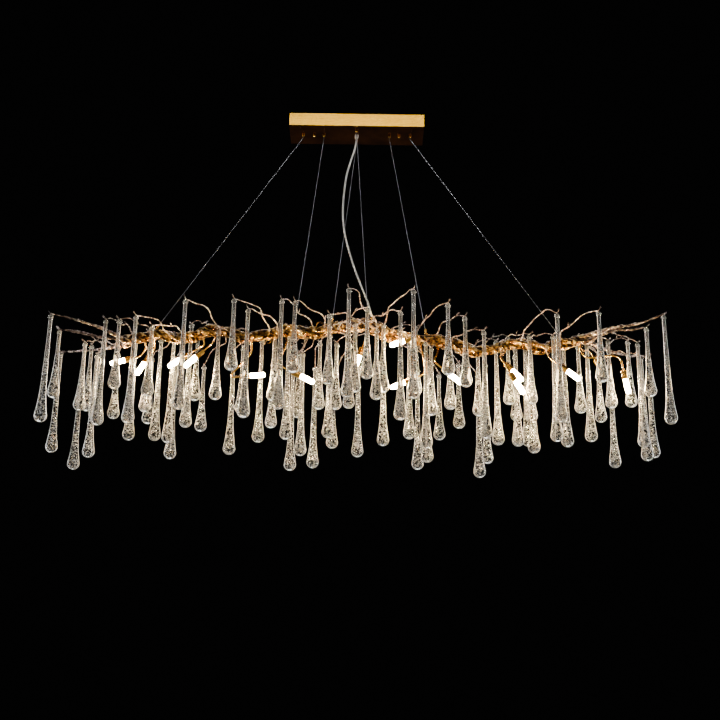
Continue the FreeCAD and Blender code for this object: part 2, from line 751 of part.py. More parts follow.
def cap_nut_shape():
    """A hexagonal nut with a domed, closed end that points down."""
    height, dome = mm.cap_nut_height, mm.cap_nut_flats * 0.46
    nut = hexagon(mm.cap_nut_flats, height * 0.7)
    nut.translate(DOWN * height * 0.7)
    top = Part.makeSphere(dome, DOWN * height * 0.7)
    bore = Part.makeCylinder((mm.stud_diameter + mm.hole_clearance) / 2, height * 0.6 + mm.seat_gap,
                             Vector(0, 0, 0), DOWN)
    return nut.fuse(top).common(hexagon(mm.cap_nut_flats * 1.2, 4 * height).translated(
        DOWN * 4 * height)).cut(bore)


stud, cap_nut = stud_shape(), cap_nut_shape()
stud_places = [Vector(number_of(x), number_of(y), 0) for x, y in STUD_HOLES]
shape_part("canopy_studs", Part.makeCompound(
    [placed(stud, p + UP * (web_under - mm.seat_gap)) for p in stud_places]))
shape_part("canopy_cap_nuts", Part.makeCompound(
    [placed(cap_nut, p + UP * (cover_under - mm.seat_gap)) for p in stud_places]))


def gripper_shape():
    """A wire gripper: a threaded stub through the bracket and a barrel through the cover."""
    barrel_length = web_under - cover_under + mm.gripper_below - mm.seat_gap
    barrel = Part.makeCylinder(mm.gripper_diameter / 2, barrel_length, Vector(0, 0, -mm.seat_gap), DOWN)
    stub = Part.makeCylinder(mm.gripper_stub / 2, mm.bracket_sheet + mm.nut_height + 1, DOWN * mm.seat_gap)
    bore = Part.makeCylinder(mm.wire_diameter / 2 + mm.seat_gap, barrel_length * 0.7,
                             Vector(0, 0, -mm.seat_gap - barrel_length * 0.3), DOWN)
    body = barrel.fuse(stub)
    rim = [e for e in body.Edges if abs(e.BoundBox.ZMax + mm.seat_gap + barrel_length) < 0.01]
    return body.makeChamfer(mm.gripper_diameter * 0.12, rim).cut(bore)


def nut_shape():
    hole = Part.makeCylinder(mm.gripper_stub / 2 + mm.seat_gap, mm.nut_height)
    return hexagon(mm.nut_flats, mm.nut_height).cut(hole)


wire_tops = [Vector(number_of(x), number_of(y), web_under) for x, y in WIRE_HOLES]
gripper, nut = gripper_shape(), nut_shape()
shape_part("wire_grippers", Part.makeCompound([placed(gripper, p) for p in wire_tops]))
web_over = UP * (mm.bracket_sheet + mm.seat_gap)
shape_part("gripper_nuts", Part.makeCompound([placed(nut, p + web_over) for p in wire_tops]))

# A three-way connector block under the bracket, with a wire hole and a screw hole to each way.
block = Part.makeBox(mm.block_length, mm.block_width, mm.block_height)
block.translate(Vector(mm.block_place - mm.block_length / 2, -mm.block_width / 2,
                       web_under - mm.seat_gap - mm.block_height))
for way in range(3):
    x = mm.block_place + (way - 1) * mm.block_length / 3
    screw = Part.makeCylinder(mm.block_length / 12, mm.block_height * 0.5,
                              Vector(x, 0, web_under - mm.seat_gap - mm.block_height))
    lead = Part.makeCylinder(mm.block_length / 14, mm.block_width,
                             Vector(x, -mm.block_width / 2, web_under - mm.block_height * 0.6),
                             Vector(0, 1, 0))
    block = block.cut(screw).cut(lead)
shape_part("terminal_block", block)


def gland_shape():
    """The cord's gland: a flange inside the cover and a tapered nose below it."""
    radius, nose = mm.gland_diameter / 2, mm.gland_below
    flange = Part.makeCylinder(mm.gland_flange / 2, 3, Vector(0, 0, cover_under + mm.canopy_sheet + mm.seat_gap))
    neck_length = mm.canopy_sheet + mm.seat_gap + nose * 0.4
    neck = Part.makeCylinder(radius, neck_length,
                             Vector(0, 0, cover_under - nose * 0.4))
    taper = Part.makeCone(mm.cord_diameter / 2 + 1, radius, nose * 0.6, Vector(0, 0, cover_under - nose))
    return flange.fuse(neck).fuse(taper).removeSplitter()


shape_part("cord_gland", gland_shape())

# ---------------------------------------------------------------- suspension wires

# Where each wire meets the branch, in the order of the holes in the canopy.
WIRE_ENDS = (-556, -166, -60, 38, 206, 596)
WIRE_NAMES = ("outer_left", "inner_left", "middle_back", "middle_front", "inner_right", "outer_right")
WIRE_FACING = ((0, 0, 1), (0, 0, 1), (0, 0.35, 1), (0, -0.35, 1), (0, 0, 1), (0, 0, 1))


def lug_shape(along):
    """A ball with a neck along the wire, bored for the wire's end; the ball is at the origin."""
    ball = Part.makeSphere(mm.lug_ball / 2)
    neck = Part.makeCylinder(mm.lug_neck / 2, mm.lug_length, Vector(), along)
    bore = Part.makeCylinder(mm.wire_diameter / 2 + mm.seat_gap, mm.lug_length,
                             along * (mm.lug_length * 0.4), along)
    return ball.fuse(neck).cut(bore)


lugs, wire_lines = [], []
for name, top, end_x, facing in zip(WIRE_NAMES, wire_tops, WIRE_ENDS, WIRE_FACING):
    seat, outwards = bundle_seat(end_x, unit(Vector(*facing)))
    ball = seat + outwards * (mm.lug_ball / 2)
    mouth = Vector(top.x, top.y, cover_under - mm.gripper_below - 5)
    along = unit(mouth - ball)
    lugs.append(placed(lug_shape(along), ball))
    start = Vector(top.x, top.y, cover_under - mm.gripper_below + 14)
    points = [start, mouth, ball + along * (mm.lug_length * 0.4 + 1)]
    wire_lines.append(points)
    shape_part(f"wire_{name}", round_tube(points, mm.wire_diameter, reach=4)[0])
shape_part("wire_lugs", Part.makeCompound(lugs))

# ---------------------------------------------------------------- power cord

FERRULE_X = 54
CORD_ROUTE = (
    (-3, 1, -82), (-16, 3, -124), (-28, 2, -172), (-34, -2, -226), (-37, -5, -280),
    (-36, -5, -330), (-29, -4, -378), (-17, -2, -424), (-3, 0, -470), (13, 2, -514),
    (29, 2, -555), (43, 1, -592),
)
ferrule_seat, ferrule_normal = bundle_seat(FERRULE_X, UP)
ferrule_axis = unit(Vector(*CORD_ROUTE[-1]) - ferrule_seat)
ferrule_lift = mm.ferrule_diameter / 2 * math.tan(ferrule_axis.getAngle(ferrule_normal))
ferrule_foot = ferrule_seat + ferrule_axis * ferrule_lift
ferrule = Part.makeCylinder(mm.ferrule_diameter / 2, mm.ferrule_length)
rim = [e for e in ferrule.Edges if abs(e.BoundBox.ZMin - mm.ferrule_length) < 0.01]
ferrule = ferrule.makeFillet(mm.ferrule_diameter * 0.15, rim)
shape_part("cord_ferrule", Part.makeCompound([placed(ferrule, ferrule_foot, turned_up_to(ferrule_axis))]))

gland_mouth = Vector(0, 0, cover_under - mm.gland_below - 2 * mm.seat_gap)
ferrule_mouth = ferrule_foot + ferrule_axis * (mm.ferrule_length + 2 * mm.seat_gap)
cord_points = [gland_mouth] + [Vector(*p) for p in CORD_ROUTE] + [ferrule_mouth]
cord, cord_radii, cord_length = round_tube(cord_points, mm.cord_diameter)
shape_part("power_cord", cord)
print("cord length", round(cord_length, 1), "least radius", round(min(cord_radii), 1))
print("cord radii", [round(r) for r in cord_radii], "mouth", ferrule_mouth, "axis", ferrule_axis)

# ---------------------------------------------------------------- twigs

# A twig starts as far back along the branch as the photograph shows, or at the next place that
# leaves it clear of every drop, at rest and swung, and of the arms, wires, strands and twigs.
SETBACKS = (82, 74, 90, 66, 98, 58, 50, 42, 34, 26, 18, 10, 2, -6, -14, -22, -30, -40, -50)
ARCHES = (0.12, 0.24, 0.02, 0.36)
TWIG_STEPS = 8
TWIG_FOOT = 2.0
THINNEST_CARRIER = 1.7
TWIG_CLEARANCE = 1.2
NEARBY = 24
FREE_FROM_ROOT = 2
SWING = math.radians(6)
carried_by_ends = [knots[-1][0] for knots in LEFT_ENDS + RIGHT_ENDS]


def bar(start, end, radius):
    """A straight round rod as plain numbers, for the clearance sums."""
    return (tuple(start), tuple(end), radius)


def bars_along(line, radii):
    return [bar(p, q, max(r, n)) for p, q, r, n in zip(line, line[1:], radii, radii[1:])]


def drop_bars(place, body):
    """A drop at rest and swung both ways: its rod, its neck and its bulb."""
    length, neck = (mm.long_drop, mm.long_neck) if body is long_drop else (mm.short_drop, mm.short_neck)
    low = length - mm.pin_below_top - mm.bulb_radius
    stations = (
        (mm.rod_diameter / 2 - mm.pin_below_top, mm.rod_length, mm.rod_diameter / 2),
        (mm.rod_length, neck, mm.neck_radius), (neck, (neck + low) / 2, 0.7 * mm.bulb_radius),
        ((neck + low) / 2, low, mm.bulb_radius))
    bars = []
    for angle in (-SWING, 0, SWING):
        down = Vector(0, math.sin(angle), -math.cos(angle))
        bars += [bar(place + down * top, place + down * bottom, radius) for top, bottom, radius in stations]
    return bars


def ring_bar(place):
    """The space of a drop's ring: as a level rod as wide as the ring, half way up it."""
    across, middle = Vector(mm.pin_diameter, 0, 0), place + UP * (mm.ring_rise / 2)
    return bar(middle - across, middle + across, (mm.ring_rise + mm.pin_diameter) / 2)


def gap_between(point, radius, rod):
    """How much room there is between a ball and a rod."""
    start, end, thick = rod
    run = [e - s for s, e in zip(start, end)]
    out = [p - s for s, p in zip(start, point)]
    share = sum(o * r for o, r in zip(out, run)) / sum(r * r for r in run)
    share = min(1.0, max(0.0, share))
    return math.dist(out, [r * share for r in run]) - radius - thick


def near(rods, line):
    """The rods that come within reach of a line along X."""
    low, high = min(p.x for p in line) - NEARBY, max(p.x for p in line) + NEARBY
    return [rod for rod in rods if low < max(rod[0][0], rod[1][0]) and min(rod[0][0], rod[1][0]) < high]


def room_round(line, radii, rods):
    """The least room round a twig, past its foot."""
    balls = []
    for p, q, r, n in zip(line[1:], line[2:], radii[1:], radii[2:]):
        steps = max(1, math.ceil((q - p).Length / 5))
        balls += [(tuple(p + (q - p) * (k / steps)), r + (n - r) * (k / steps)) for k in range(steps)]
    balls.append((tuple(line[-1]), radii[-1]))
    close = near(rods, line)
    return min((gap_between(point, radius, rod) for point, radius in balls[FREE_FROM_ROOT:] for rod in close),
               default=NEARBY)


def twig_root(tip, setback, taken):
    """Where a twig leaves the strands: the nearest free stretch, a little towards the middle."""
    best = None
    wanted = tip.x - math.copysign(setback, tip.x)
    for s, (points, radii, first, count) in enumerate(strands):
        for i in range(3, len(points) - 3):
            centre = points[i]
            if (s, i) in taken or radii[i] < THINNEST_CARRIER:
                continue
            along = unit(points[i + 1] - points[i - 1])
            towards = tip - centre + UP * 25
            facing = unit(towards - along * towards.dot(along))
            if first <= i < first + count:
                middle = sum((q[0][i - first + q[2]] for q in strands), Vector()) * (1 / 3)
                if facing.dot(unit(centre - middle)) < 0.25:
                    continue
            cost = (tip - centre).Length + 1.3 * abs(centre.x - wanted)
            if best is None or cost < best[0]:
                best = (cost, s, i, centre, radii[i], facing)
    return best


def twig_line(tip, seat, facing, arch, phase):
    """A wavy line from the strand out to over the ring, and a bud past it.

    Its first stretch stands square on the strand, so that its flat foot lies against it.
    """
    root = seat + facing * TWIG_FOOT
    reach = (tip - root).Length
    outwards = Vector(tip.x - root.x, tip.y - root.y, 0)
    outwards = unit(outwards) if outwards.Length > 1 else Vector(0, 1, 0)
    early = root + facing * (0.22 * reach)
    late = tip - outwards * (0.36 * reach) + UP * (arch * reach + 2)
    across = unit(outwards.cross(UP))
    line = [seat]
    for i in range(TWIG_STEPS):
        t = i / TWIG_STEPS
        u = 1 - t
        point = (root * u ** 3 + early * (3 * u * u * t) + late * (3 * u * t * t) + tip * t ** 3)
        swing = math.sin(math.pi * t) * min(7.0, 0.05 * reach)
        point += across * (swing * math.sin(9.0 * t + phase)) + UP * (0.6 * swing * math.cos(11.0 * t + phase))
        line.append(point)
    bud = tip + outwards * (0.75 * mm.bud_length) + UP * (0.66 * mm.bud_length)
    return line + [tip, bud]


def make_twigs():
    """The line and radii of every twig, in the order of the drops from the middle outwards."""
    fixed = [rod for points, radii, _, _ in strands for rod in bars_along(points, radii)]
    for line in arm_lines:
        fixed += bars_along(line, [mm.arm_diameter / 2] * len(line))
    for lamp in LAMPS:
        fixed.append(bar(lamp.tip, lamp.tip - lamp.along * (mm.socket_length + mm.lamp_reach),
                         mm.socket_diameter / 2))
    for line in wire_lines + [cord_points]:
        fixed += bars_along(line, [mm.cord_diameter / 2] * len(line))
    rings = {tuple(place): ring_bar(place) for place, _ in drop_places}
    for place, body in drop_places:
        fixed += drop_bars(place, body)
    taken, twigs = set(), []
    for place, body in sorted(drop_places, key=lambda drop: abs(drop[0].x)):
        if place.x in carried_by_ends:
            continue
        tip = over_ring(place.x, place.y, place.z + mm.branch_level, mm.twig_tip_radius)
        rods = fixed + [rod for key, rod in rings.items() if key != tuple(place)]
        best = None
        for arch, setback in ((a, s) for s in SETBACKS for a in ARCHES):
            _, s, i, centre, thick, facing = twig_root(tip, setback, taken)
            line = twig_line(tip, centre + facing * (thick + mm.seat_gap), facing, arch, 1.7 * len(twigs))
            end = mm.twig_tip_radius
            start = max(end, min(mm.twig_root_radius, 0.62 * thick))
            radii = [start + (end - start) * (n / TWIG_STEPS) ** 0.8 for n in range(TWIG_STEPS + 1)]
            radii = [start] + radii + [end * 0.55]
            room = room_round(line, radii, rods)
            if best is None or room > best[0]:
                best = (room, s, i, line, radii)
            if room > TWIG_CLEARANCE:
                break
        room, s, i, line, radii = best
        if room < 0.3:
            print("the twig over", place, "has too little room:", round(room, 1))
        taken.add((s, i))
        fixed += bars_along(line, radii)
        twigs.append((line, radii, place))
    return twigs


twigs = make_twigs()
thirds = {"twigs_left": [], "twigs_middle": [], "twigs_right": []}
for line, radii, place in twigs:
    group = "twigs_left" if place.x < -290 else "twigs_right" if place.x > 290 else "twigs_middle"
    thirds[group].append(faceted_tube(line, radii, TWIG_SIDES))
for label, solids in thirds.items():
    shape_part(label, Part.makeCompound(solids))

# ---------------------------------------------------------------- checks and files

doc.recompute()
for thing in doc.Objects:
    if "Invalid" in thing.State or "Error" in thing.State:
        raise ValueError(f"{thing.Label} failed: {thing.State}")
for label, owner in sub_parts.items():
    if owner.Shape.isNull() or not owner.Shape.isValid():
        raise ValueError(f"{label} has no valid shape")

os.makedirs("parts", exist_ok=True)
for label, owner in sub_parts.items():
    owner.Shape.exportStep(f"parts/{label}.step")
    box = owner.Shape.BoundBox
    print(f"{label}: {len(owner.Shape.Solids)} solids, z {box.ZMin:.1f} to {box.ZMax:.1f}")
print(len(sub_parts), "sub-parts")
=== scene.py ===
"""Branch chandelier: a gold canopy, steel wires, a gnarled gilt branch, lit lamps and glass drops."""
import json
import math
import random

import bpy
import numpy as np
from mathutils import Matrix, Vector
from mathutils.kdtree import KDTree


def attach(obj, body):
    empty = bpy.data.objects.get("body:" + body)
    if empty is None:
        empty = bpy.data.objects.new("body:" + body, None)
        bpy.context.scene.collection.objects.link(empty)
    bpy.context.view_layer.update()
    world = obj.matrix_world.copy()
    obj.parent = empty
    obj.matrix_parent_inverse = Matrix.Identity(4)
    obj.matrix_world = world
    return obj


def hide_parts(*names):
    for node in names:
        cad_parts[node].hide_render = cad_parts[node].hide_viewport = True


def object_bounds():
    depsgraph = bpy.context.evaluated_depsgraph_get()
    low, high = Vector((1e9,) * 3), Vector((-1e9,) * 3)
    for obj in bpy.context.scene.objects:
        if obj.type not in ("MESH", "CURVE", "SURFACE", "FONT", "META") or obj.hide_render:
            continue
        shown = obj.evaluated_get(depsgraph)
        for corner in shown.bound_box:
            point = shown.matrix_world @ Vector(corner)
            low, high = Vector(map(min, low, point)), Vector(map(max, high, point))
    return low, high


MM = 0.001
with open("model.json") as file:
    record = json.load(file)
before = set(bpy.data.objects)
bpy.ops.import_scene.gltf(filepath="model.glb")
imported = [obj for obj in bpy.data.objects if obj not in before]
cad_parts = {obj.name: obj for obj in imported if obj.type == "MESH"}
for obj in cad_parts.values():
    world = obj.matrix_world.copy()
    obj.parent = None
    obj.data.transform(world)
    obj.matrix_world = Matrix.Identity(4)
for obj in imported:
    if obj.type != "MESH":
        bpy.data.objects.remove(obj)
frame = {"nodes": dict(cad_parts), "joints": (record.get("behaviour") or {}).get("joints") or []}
cad_low, cad_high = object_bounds()
nodes = frame["nodes"]

# ---------------------------------------------------------------- camera

# The camera stands low and looks up at the chandelier, in the frame of the photograph.
CAMERA_PLACE = Vector((20, -3290, -1977)) * MM
CAMERA_PITCH = 20.3
CAMERA_ROLL = 0.85
SENSOR_WIDTH = 36
PHOTO_PIXELS = 720
FOCAL_PIXELS = 1250


def make_camera():
    data = bpy.data.cameras.new("camera")
    data.sensor_width = SENSOR_WIDTH
    data.lens = SENSOR_WIDTH * FOCAL_PIXELS / PHOTO_PIXELS
    camera = bpy.data.objects.new("camera", data)
    turn = Matrix.Rotation(math.radians(90 + CAMERA_PITCH), 4, "X")
    roll = Matrix.Rotation(math.radians(CAMERA_ROLL), 4, "Z")
    camera.matrix_world = Matrix.Translation(CAMERA_PLACE) @ turn @ roll
    bpy.context.scene.collection.objects.link(camera)
    bpy.context.scene.camera = camera


make_camera()

# ---------------------------------------------------------------- small helpers


def colour(code):
    """An sRGB hex value as linear red, green, blue and alpha."""
    parts = [int(code[i:i + 2], 16) / 255 for i in (1, 3, 5)]
    return tuple(c / 12.92 if c <= 0.04045 else ((c + 0.055) / 1.055) ** 2.4 for c in parts) + (1.0,)


def output_of(source):
    """A socket as it is, or the first output that a node has in use."""
    if isinstance(source, bpy.types.Node):
        return next(s for s in source.outputs if s.enabled)
    return source


def add(tree, kind, inputs=None, stops=(), **settings):
    """Adds a node with its settings and links. An input takes a value, a socket, or a node's first output.

    The stops of a colour ramp are (place, hex colour) pairs.
    """
    node = tree.nodes.new(kind)
    for name, value in settings.items():
        setattr(node, name, value)
    for name, source in (inputs or {}).items():
        socket = node.inputs[name] if isinstance(name, int) else next(
            s for s in node.inputs if s.name == name and s.enabled)
        source = output_of(source)
        if isinstance(source, bpy.types.NodeSocket):
            tree.links.new(source, socket)
        else:
            socket.default_value = source
    for _ in stops[2:]:
        node.color_ramp.elements.new(0.5)
    for i, (place, code) in enumerate(stops):
        node.color_ramp.elements[i].position = place
        node.color_ramp.elements[i].color = colour(code)
    return node


def link_object(name, data):
    thing = bpy.data.objects.new(name, data)
    bpy.context.scene.collection.objects.link(thing)
    return thing


def mesh_object(name, points, edges=(), faces=()):
    mesh = bpy.data.meshes.new(name)
    mesh.from_pydata(points, edges, faces)
    return link_object(name, mesh)


def finished_mesh(name, thing):
    """The evaluated shape of an object as a plain mesh object of its own; the first one goes."""
    graph = bpy.context.evaluated_depsgraph_get()
    mesh = bpy.data.meshes.new_from_object(thing.evaluated_get(graph), depsgraph=graph)
    bpy.data.objects.remove(thing)
    return link_object(name, mesh)


def run_tree(name, thing, tree, **values):
    """Runs a geometry tree on an object, and keeps the result as a plain mesh."""
    modifier = thing.modifiers.new("tree", "NODES")
    modifier.node_group = tree
    sockets = {s.name: s.identifier for s in tree.interface.items_tree if s.in_out == "INPUT"}
    for key, value in values.items():
        modifier[sockets[key]] = value
    return finished_mesh(name, thing)


def new_tree(name, **inputs):
    """A geometry tree with named inputs: (socket kind, default) each. Returns it and its inputs."""
    tree = bpy.data.node_groups.new(name, "GeometryNodeTree")
    tree.interface.new_socket("Geometry", in_out="INPUT", socket_type="NodeSocketGeometry")
    for key, (kind, default) in inputs.items():
        socket = tree.interface.new_socket(key, in_out="INPUT", socket_type="NodeSocket" + kind)
        if default is not None:
            socket.default_value = default
    tree.interface.new_socket("Geometry", in_out="OUTPUT", socket_type="NodeSocketGeometry")
    return tree, add(tree, "NodeGroupInput").outputs


# ---------------------------------------------------------------- materials

# A noise texture's values lie mostly in this span. A map range spreads them over a wanted pair.
NOISE_SPAN = {"From Min": 0.3, "From Max": 0.7}


def new_material(name, **values):
    """A material whose one shader has these values on its own sockets, and its object coordinates."""
    material = bpy.data.materials.new(name)
    material.use_nodes = True
    tree = material.node_tree
    for key, value in values.items():
        tree.nodes["Principled BSDF"].inputs[key.replace("_", " ")].default_value = value
    return material, tree, add(tree, "ShaderNodeTexCoord").outputs["Object"]


def paint(tree, **sources):
    """Links nodes to the named sockets of a material's shader."""
    for key, source in sources.items():
        tree.links.new(output_of(source), tree.nodes["Principled BSDF"].inputs[key.replace("_", " ")])


# Real bubbles are 0.5 to 2 mm across. The specks are drawn coarser, so that they still show:
# (spacing, and the shares of it where a speck's edge starts and ends).
SPECKS = ((5.6 * MM, 0.25, 0.34), (3.6 * MM, 0.15, 0.24))
ROD_HAZE, BULB_HAZE, SPECK_WHITE, RIM_WHITE = 0.1, 0.01, 0.9, 0.9
RIM_START, RIM_END = 0.42, 0.70


def blown_glass():
    """Hand-drawn soda glass: a faintly hazy rod above, and below it a froth of trapped air.

    The air shows as pale specks with dark gaps between them, and the glass turns milky
    towards its edges, where the eye looks through the most of it.
    """
    material, tree, place = new_material(
        "bubbled_soda_glass", Base_Color=colour("#FBFAF6"), Transmission_Weight=1.0, IOR=1.45)
    froth = add(tree, "ShaderNodeAttribute", attribute_name="froth").outputs["Fac"]
    specks = []
    for size, low, high in SPECKS:
        cells = add(tree, "ShaderNodeTexVoronoi", {"Vector": place, "Scale": 1 / size})
        specks.append(add(tree, "ShaderNodeMapRange", {
            "Value": cells.outputs["Distance"], "From Min": low, "From Max": high,
            "To Min": 1.0, "To Max": 0.0}))
    both = add(tree, "ShaderNodeMath", {0: specks[0], 1: specks[1]}, operation="MAXIMUM")
    air = add(tree, "ShaderNodeMath", {0: both, 1: froth}, operation="MULTIPLY")
    haze = add(tree, "ShaderNodeMapRange", {"Value": froth, "To Min": ROD_HAZE, "To Max": BULB_HAZE})
    pale = add(tree, "ShaderNodeMapRange", {"Value": air, "To Min": haze, "To Max": SPECK_WHITE})
    edge = add(tree, "ShaderNodeLayerWeight", {"Blend": 0.5}).outputs["Facing"]
    rim = add(tree, "ShaderNodeMapRange", {"Value": edge, "From Min": RIM_START, "From Max": RIM_END,
                                           "To Min": 0.0, "To Max": RIM_WHITE})
    white = add(tree, "ShaderNodeMath", {0: pale, 1: rim}, operation="MAXIMUM")
    clear = add(tree, "ShaderNodeMath", {0: 1.0, 1: white}, operation="SUBTRACT")
    rough = add(tree, "ShaderNodeMapRange", {"Value": air, "To Min": 0.04, "To Max": 0.3})
    swell = add(tree, "ShaderNodeTexNoise", {"Vector": place, "Scale": 1 / (12 * MM), "Detail": 1.0})
    skin = add(tree, "ShaderNodeMath", {0: air, 1: swell}, operation="ADD")
    bump = add(tree, "ShaderNodeBump", {"Height": skin, "Distance": 0.3 * MM, "Strength": 0.5})
    paint(tree, Transmission_Weight=clear, Roughness=rough, Normal=bump)
    return material


def trapped_air():
    """The larger air bubbles, which mirror all the light that comes at a slant: silvery beads."""
    material, tree, place = new_material("trapped_air_bubble", Metallic=1.0)
    patches = add(tree, "ShaderNodeTexNoise", {"Vector": place, "Scale": 1 / (6 * MM), "Detail": 3.0})
    silver = add(tree, "ShaderNodeValToRGB", {"Fac": patches}, stops=[(0.3, "#C9C7C2"), (0.7, "#FFFFFF")])
    haze = add(tree, "ShaderNodeTexNoise", {"Vector": place, "Scale": 1 / (4 * MM), "Detail": 3.0})
    rough = add(tree, "ShaderNodeMapRange", {"Value": haze, **NOISE_SPAN, "To Min": 0.08, "To Max": 0.3})
    paint(tree, Base_Color=silver, Roughness=rough)
    return material


# How far from the middle of the branch the leaf starts to give way, and where it has gone, in metres.
LEAF_ENDS = (0.60, 0.70)
FIBRE_WIDTH = 2.6 * MM
FIBRE_STRETCH = (0.35, 1.0, 1.0)
# A diagonal wave texture's waves are π/5 m long at a scale of one, so these bands lie 26.4 mm apart.
WOUND_SCALE = 1 / (42 * MM)


def gilt_bark():
    """Gold leaf laid over cast bark. Its colour follows partly the height of the bark's lumps and partly a
    fine random grain:
    a painted highlight on the ridges, and painted shade, near black, in the hollows.

    Slanting bands show how the strands are wound. The leaf gives way to bare brown metal
    along the thin free ends of the strands, with the same painted shade and highlight.
    """
    material, tree, place = new_material("gold_leaf_on_cast_bark", Metallic=0.95)
    drawn = add(tree, "ShaderNodeMapping", {"Vector": place, "Scale": FIBRE_STRETCH}).outputs["Vector"]
    fine = add(tree, "ShaderNodeTexNoise", {"Vector": drawn, "Scale": 1 / FIBRE_WIDTH, "Detail": 4.0})
    ridge = add(tree, "ShaderNodeAttribute", attribute_name="ridge").outputs["Fac"]
    rugged = add(tree, "ShaderNodeMix", {"Factor": 0.5, "A": ridge, "B": fine})
    wound = add(tree, "ShaderNodeTexWave", {
        "Vector": place, "Scale": WOUND_SCALE, "Distortion": 11.0, "Detail": 4.0,
        "Detail Scale": 1.3}, bands_direction="DIAGONAL").outputs["Fac"]
    mixed = add(tree, "ShaderNodeMix", {"Factor": 0.11, "A": rugged, "B": wound})
    # Painted shade and highlight: the near-black low end falls in the hollows and the pale cream high end on
    # the ridges; the golds between are the leaf's own colour.
    leaf_with_painted_shade_and_highlight = add(tree, "ShaderNodeValToRGB", {"Fac": mixed}, stops=[
        (0.43, "#150B06"), (0.485, "#573616"), (0.54, "#A67C38"), (0.60, "#E2BF78"), (0.67, "#FFF2CC")])
    bare_metal_with_painted_shade_and_highlight = add(tree, "ShaderNodeValToRGB", {"Fac": mixed}, stops=[
        (0.42, "#2A1E1B"), (0.52, "#7A655B"), (0.64, "#D8C8BF")])
    along = add(tree, "ShaderNodeSeparateXYZ", {"Vector": place}).outputs["X"]
    outwards = add(tree, "ShaderNodeMapRange", {
        "Value": add(tree, "ShaderNodeMath", {0: along}, operation="ABSOLUTE"),
        "From Min": LEAF_ENDS[0], "From Max": LEAF_ENDS[1]})
    skin = add(tree, "ShaderNodeMix", {"Factor": outwards, 6: leaf_with_painted_shade_and_highlight, 7: bare_metal_with_painted_shade_and_highlight}, data_type="RGBA").outputs[2]
    rough = add(tree, "ShaderNodeMapRange", {"Value": fine, **NOISE_SPAN, "To Min": 0.5, "To Max": 0.18})
    bump = add(tree, "ShaderNodeBump", {"Height": mixed, "Distance": 4 * MM, "Strength": 1.0})
    paint(tree, Base_Color=skin, Roughness=rough, Normal=bump)
    return material


def gilt_twig():
    """Thin twigs with the gilding rubbed back to brown: satin, a little pink where it is unlit."""
    material, tree, place = new_material("rubbed_gilt_twig", Metallic=0.7)
    coat = add(tree, "ShaderNodeTexNoise", {"Vector": place, "Scale": 1 / (5 * MM), "Detail": 4.0})
    skin = add(tree, "ShaderNodeValToRGB", {"Fac": coat}, stops=[
        (0.38, "#2A1E1B"), (0.5, "#806B61"), (0.64, "#E2D4CC")])
    rough = add(tree, "ShaderNodeMapRange", {"Value": coat, **NOISE_SPAN, "To Min": 0.55, "To Max": 0.3})
    rind = add(tree, "ShaderNodeTexNoise", {"Vector": place, "Scale": 1 / (1.8 * MM), "Detail": 3.0})
    bump = add(tree, "ShaderNodeBump", {"Height": rind, "Distance": 0.5 * MM, "Strength": 1.0})
    paint(tree, Base_Color=skin, Roughness=rough, Normal=bump)
    return material


# Brush lines are 0.1 mm or so apart. These are drawn four times as far apart, so that they show.
BRUSH_LENGTH = 12 * MM
BRUSH_NARROWING = (1.0, 1.0, 30.0)


def brushed_gold():
    """Gold-lacquered brass sheet: fine brush lines on the walls, and a mirror-like underside with painted
    shade, a darker brown.
    """
    material, tree, place = new_material("brushed_gold_brass_sheet", Metallic=1.0)
    lines = add(tree, "ShaderNodeMapping", {"Vector": place, "Scale": BRUSH_NARROWING}).outputs["Vector"]
    brush = add(tree, "ShaderNodeTexNoise", {"Vector": lines, "Scale": 1 / BRUSH_LENGTH, "Detail": 3.0})
    walls = add(tree, "ShaderNodeValToRGB", {"Fac": brush}, stops=[
        (0.3, "#A87410"), (0.5, "#C48E1C"), (0.7, "#E2B440")])
    cloud = add(tree, "ShaderNodeTexNoise", {"Vector": place, "Scale": 1 / (60 * MM), "Detail": 3.0})
    # Painted shade: the downward faces of the same sheet get a darker brown than the walls.
    underside_painted_shade = add(tree, "ShaderNodeValToRGB", {"Fac": cloud}, stops=[(0.3, "#4E2C14"), (0.7, "#8A5228")])
    normal = add(tree, "ShaderNodeNewGeometry").outputs["Normal"]
    upwards = add(tree, "ShaderNodeSeparateXYZ", {"Vector": normal}).outputs["Z"]
    underside = add(tree, "ShaderNodeMath", {0: upwards, 1: -0.9}, operation="LESS_THAN")
    skin = add(tree, "ShaderNodeMix", {"Factor": underside, 6: walls, 7: underside_painted_shade}, data_type="RGBA").outputs[2]
    satin = add(tree, "ShaderNodeMapRange", {"Value": brush, **NOISE_SPAN, "To Min": 0.26, "To Max": 0.38})
    rough = add(tree, "ShaderNodeMix", {"Factor": underside, 2: satin, 3: 0.12})
    bump = add(tree, "ShaderNodeBump", {"Height": brush, "Distance": 0.05 * MM, "Strength": 1.0})
    paint(tree, Base_Color=skin, Roughness=rough, Normal=bump)
    return material


def turned_brass():
    """Polished lacquered brass, drawn and turned: bright, with a little tarnish."""
    material, tree, place = new_material("polished_lacquered_brass", Metallic=1.0)
    tarnish = add(tree, "ShaderNodeTexNoise", {"Vector": place, "Scale": 1 / (8 * MM), "Detail": 3.0})
    skin = add(tree, "ShaderNodeValToRGB", {"Fac": tarnish}, stops=[(0.3, "#B37A2C"), (0.6, "#E8B95E")])
    rough = add(tree, "ShaderNodeMapRange", {"Value": tarnish, **NOISE_SPAN, "To Min": 0.3, "To Max": 0.16})
    paint(tree, Base_Color=skin, Roughness=rough)
    return material


LAMP_POWER = 590.0


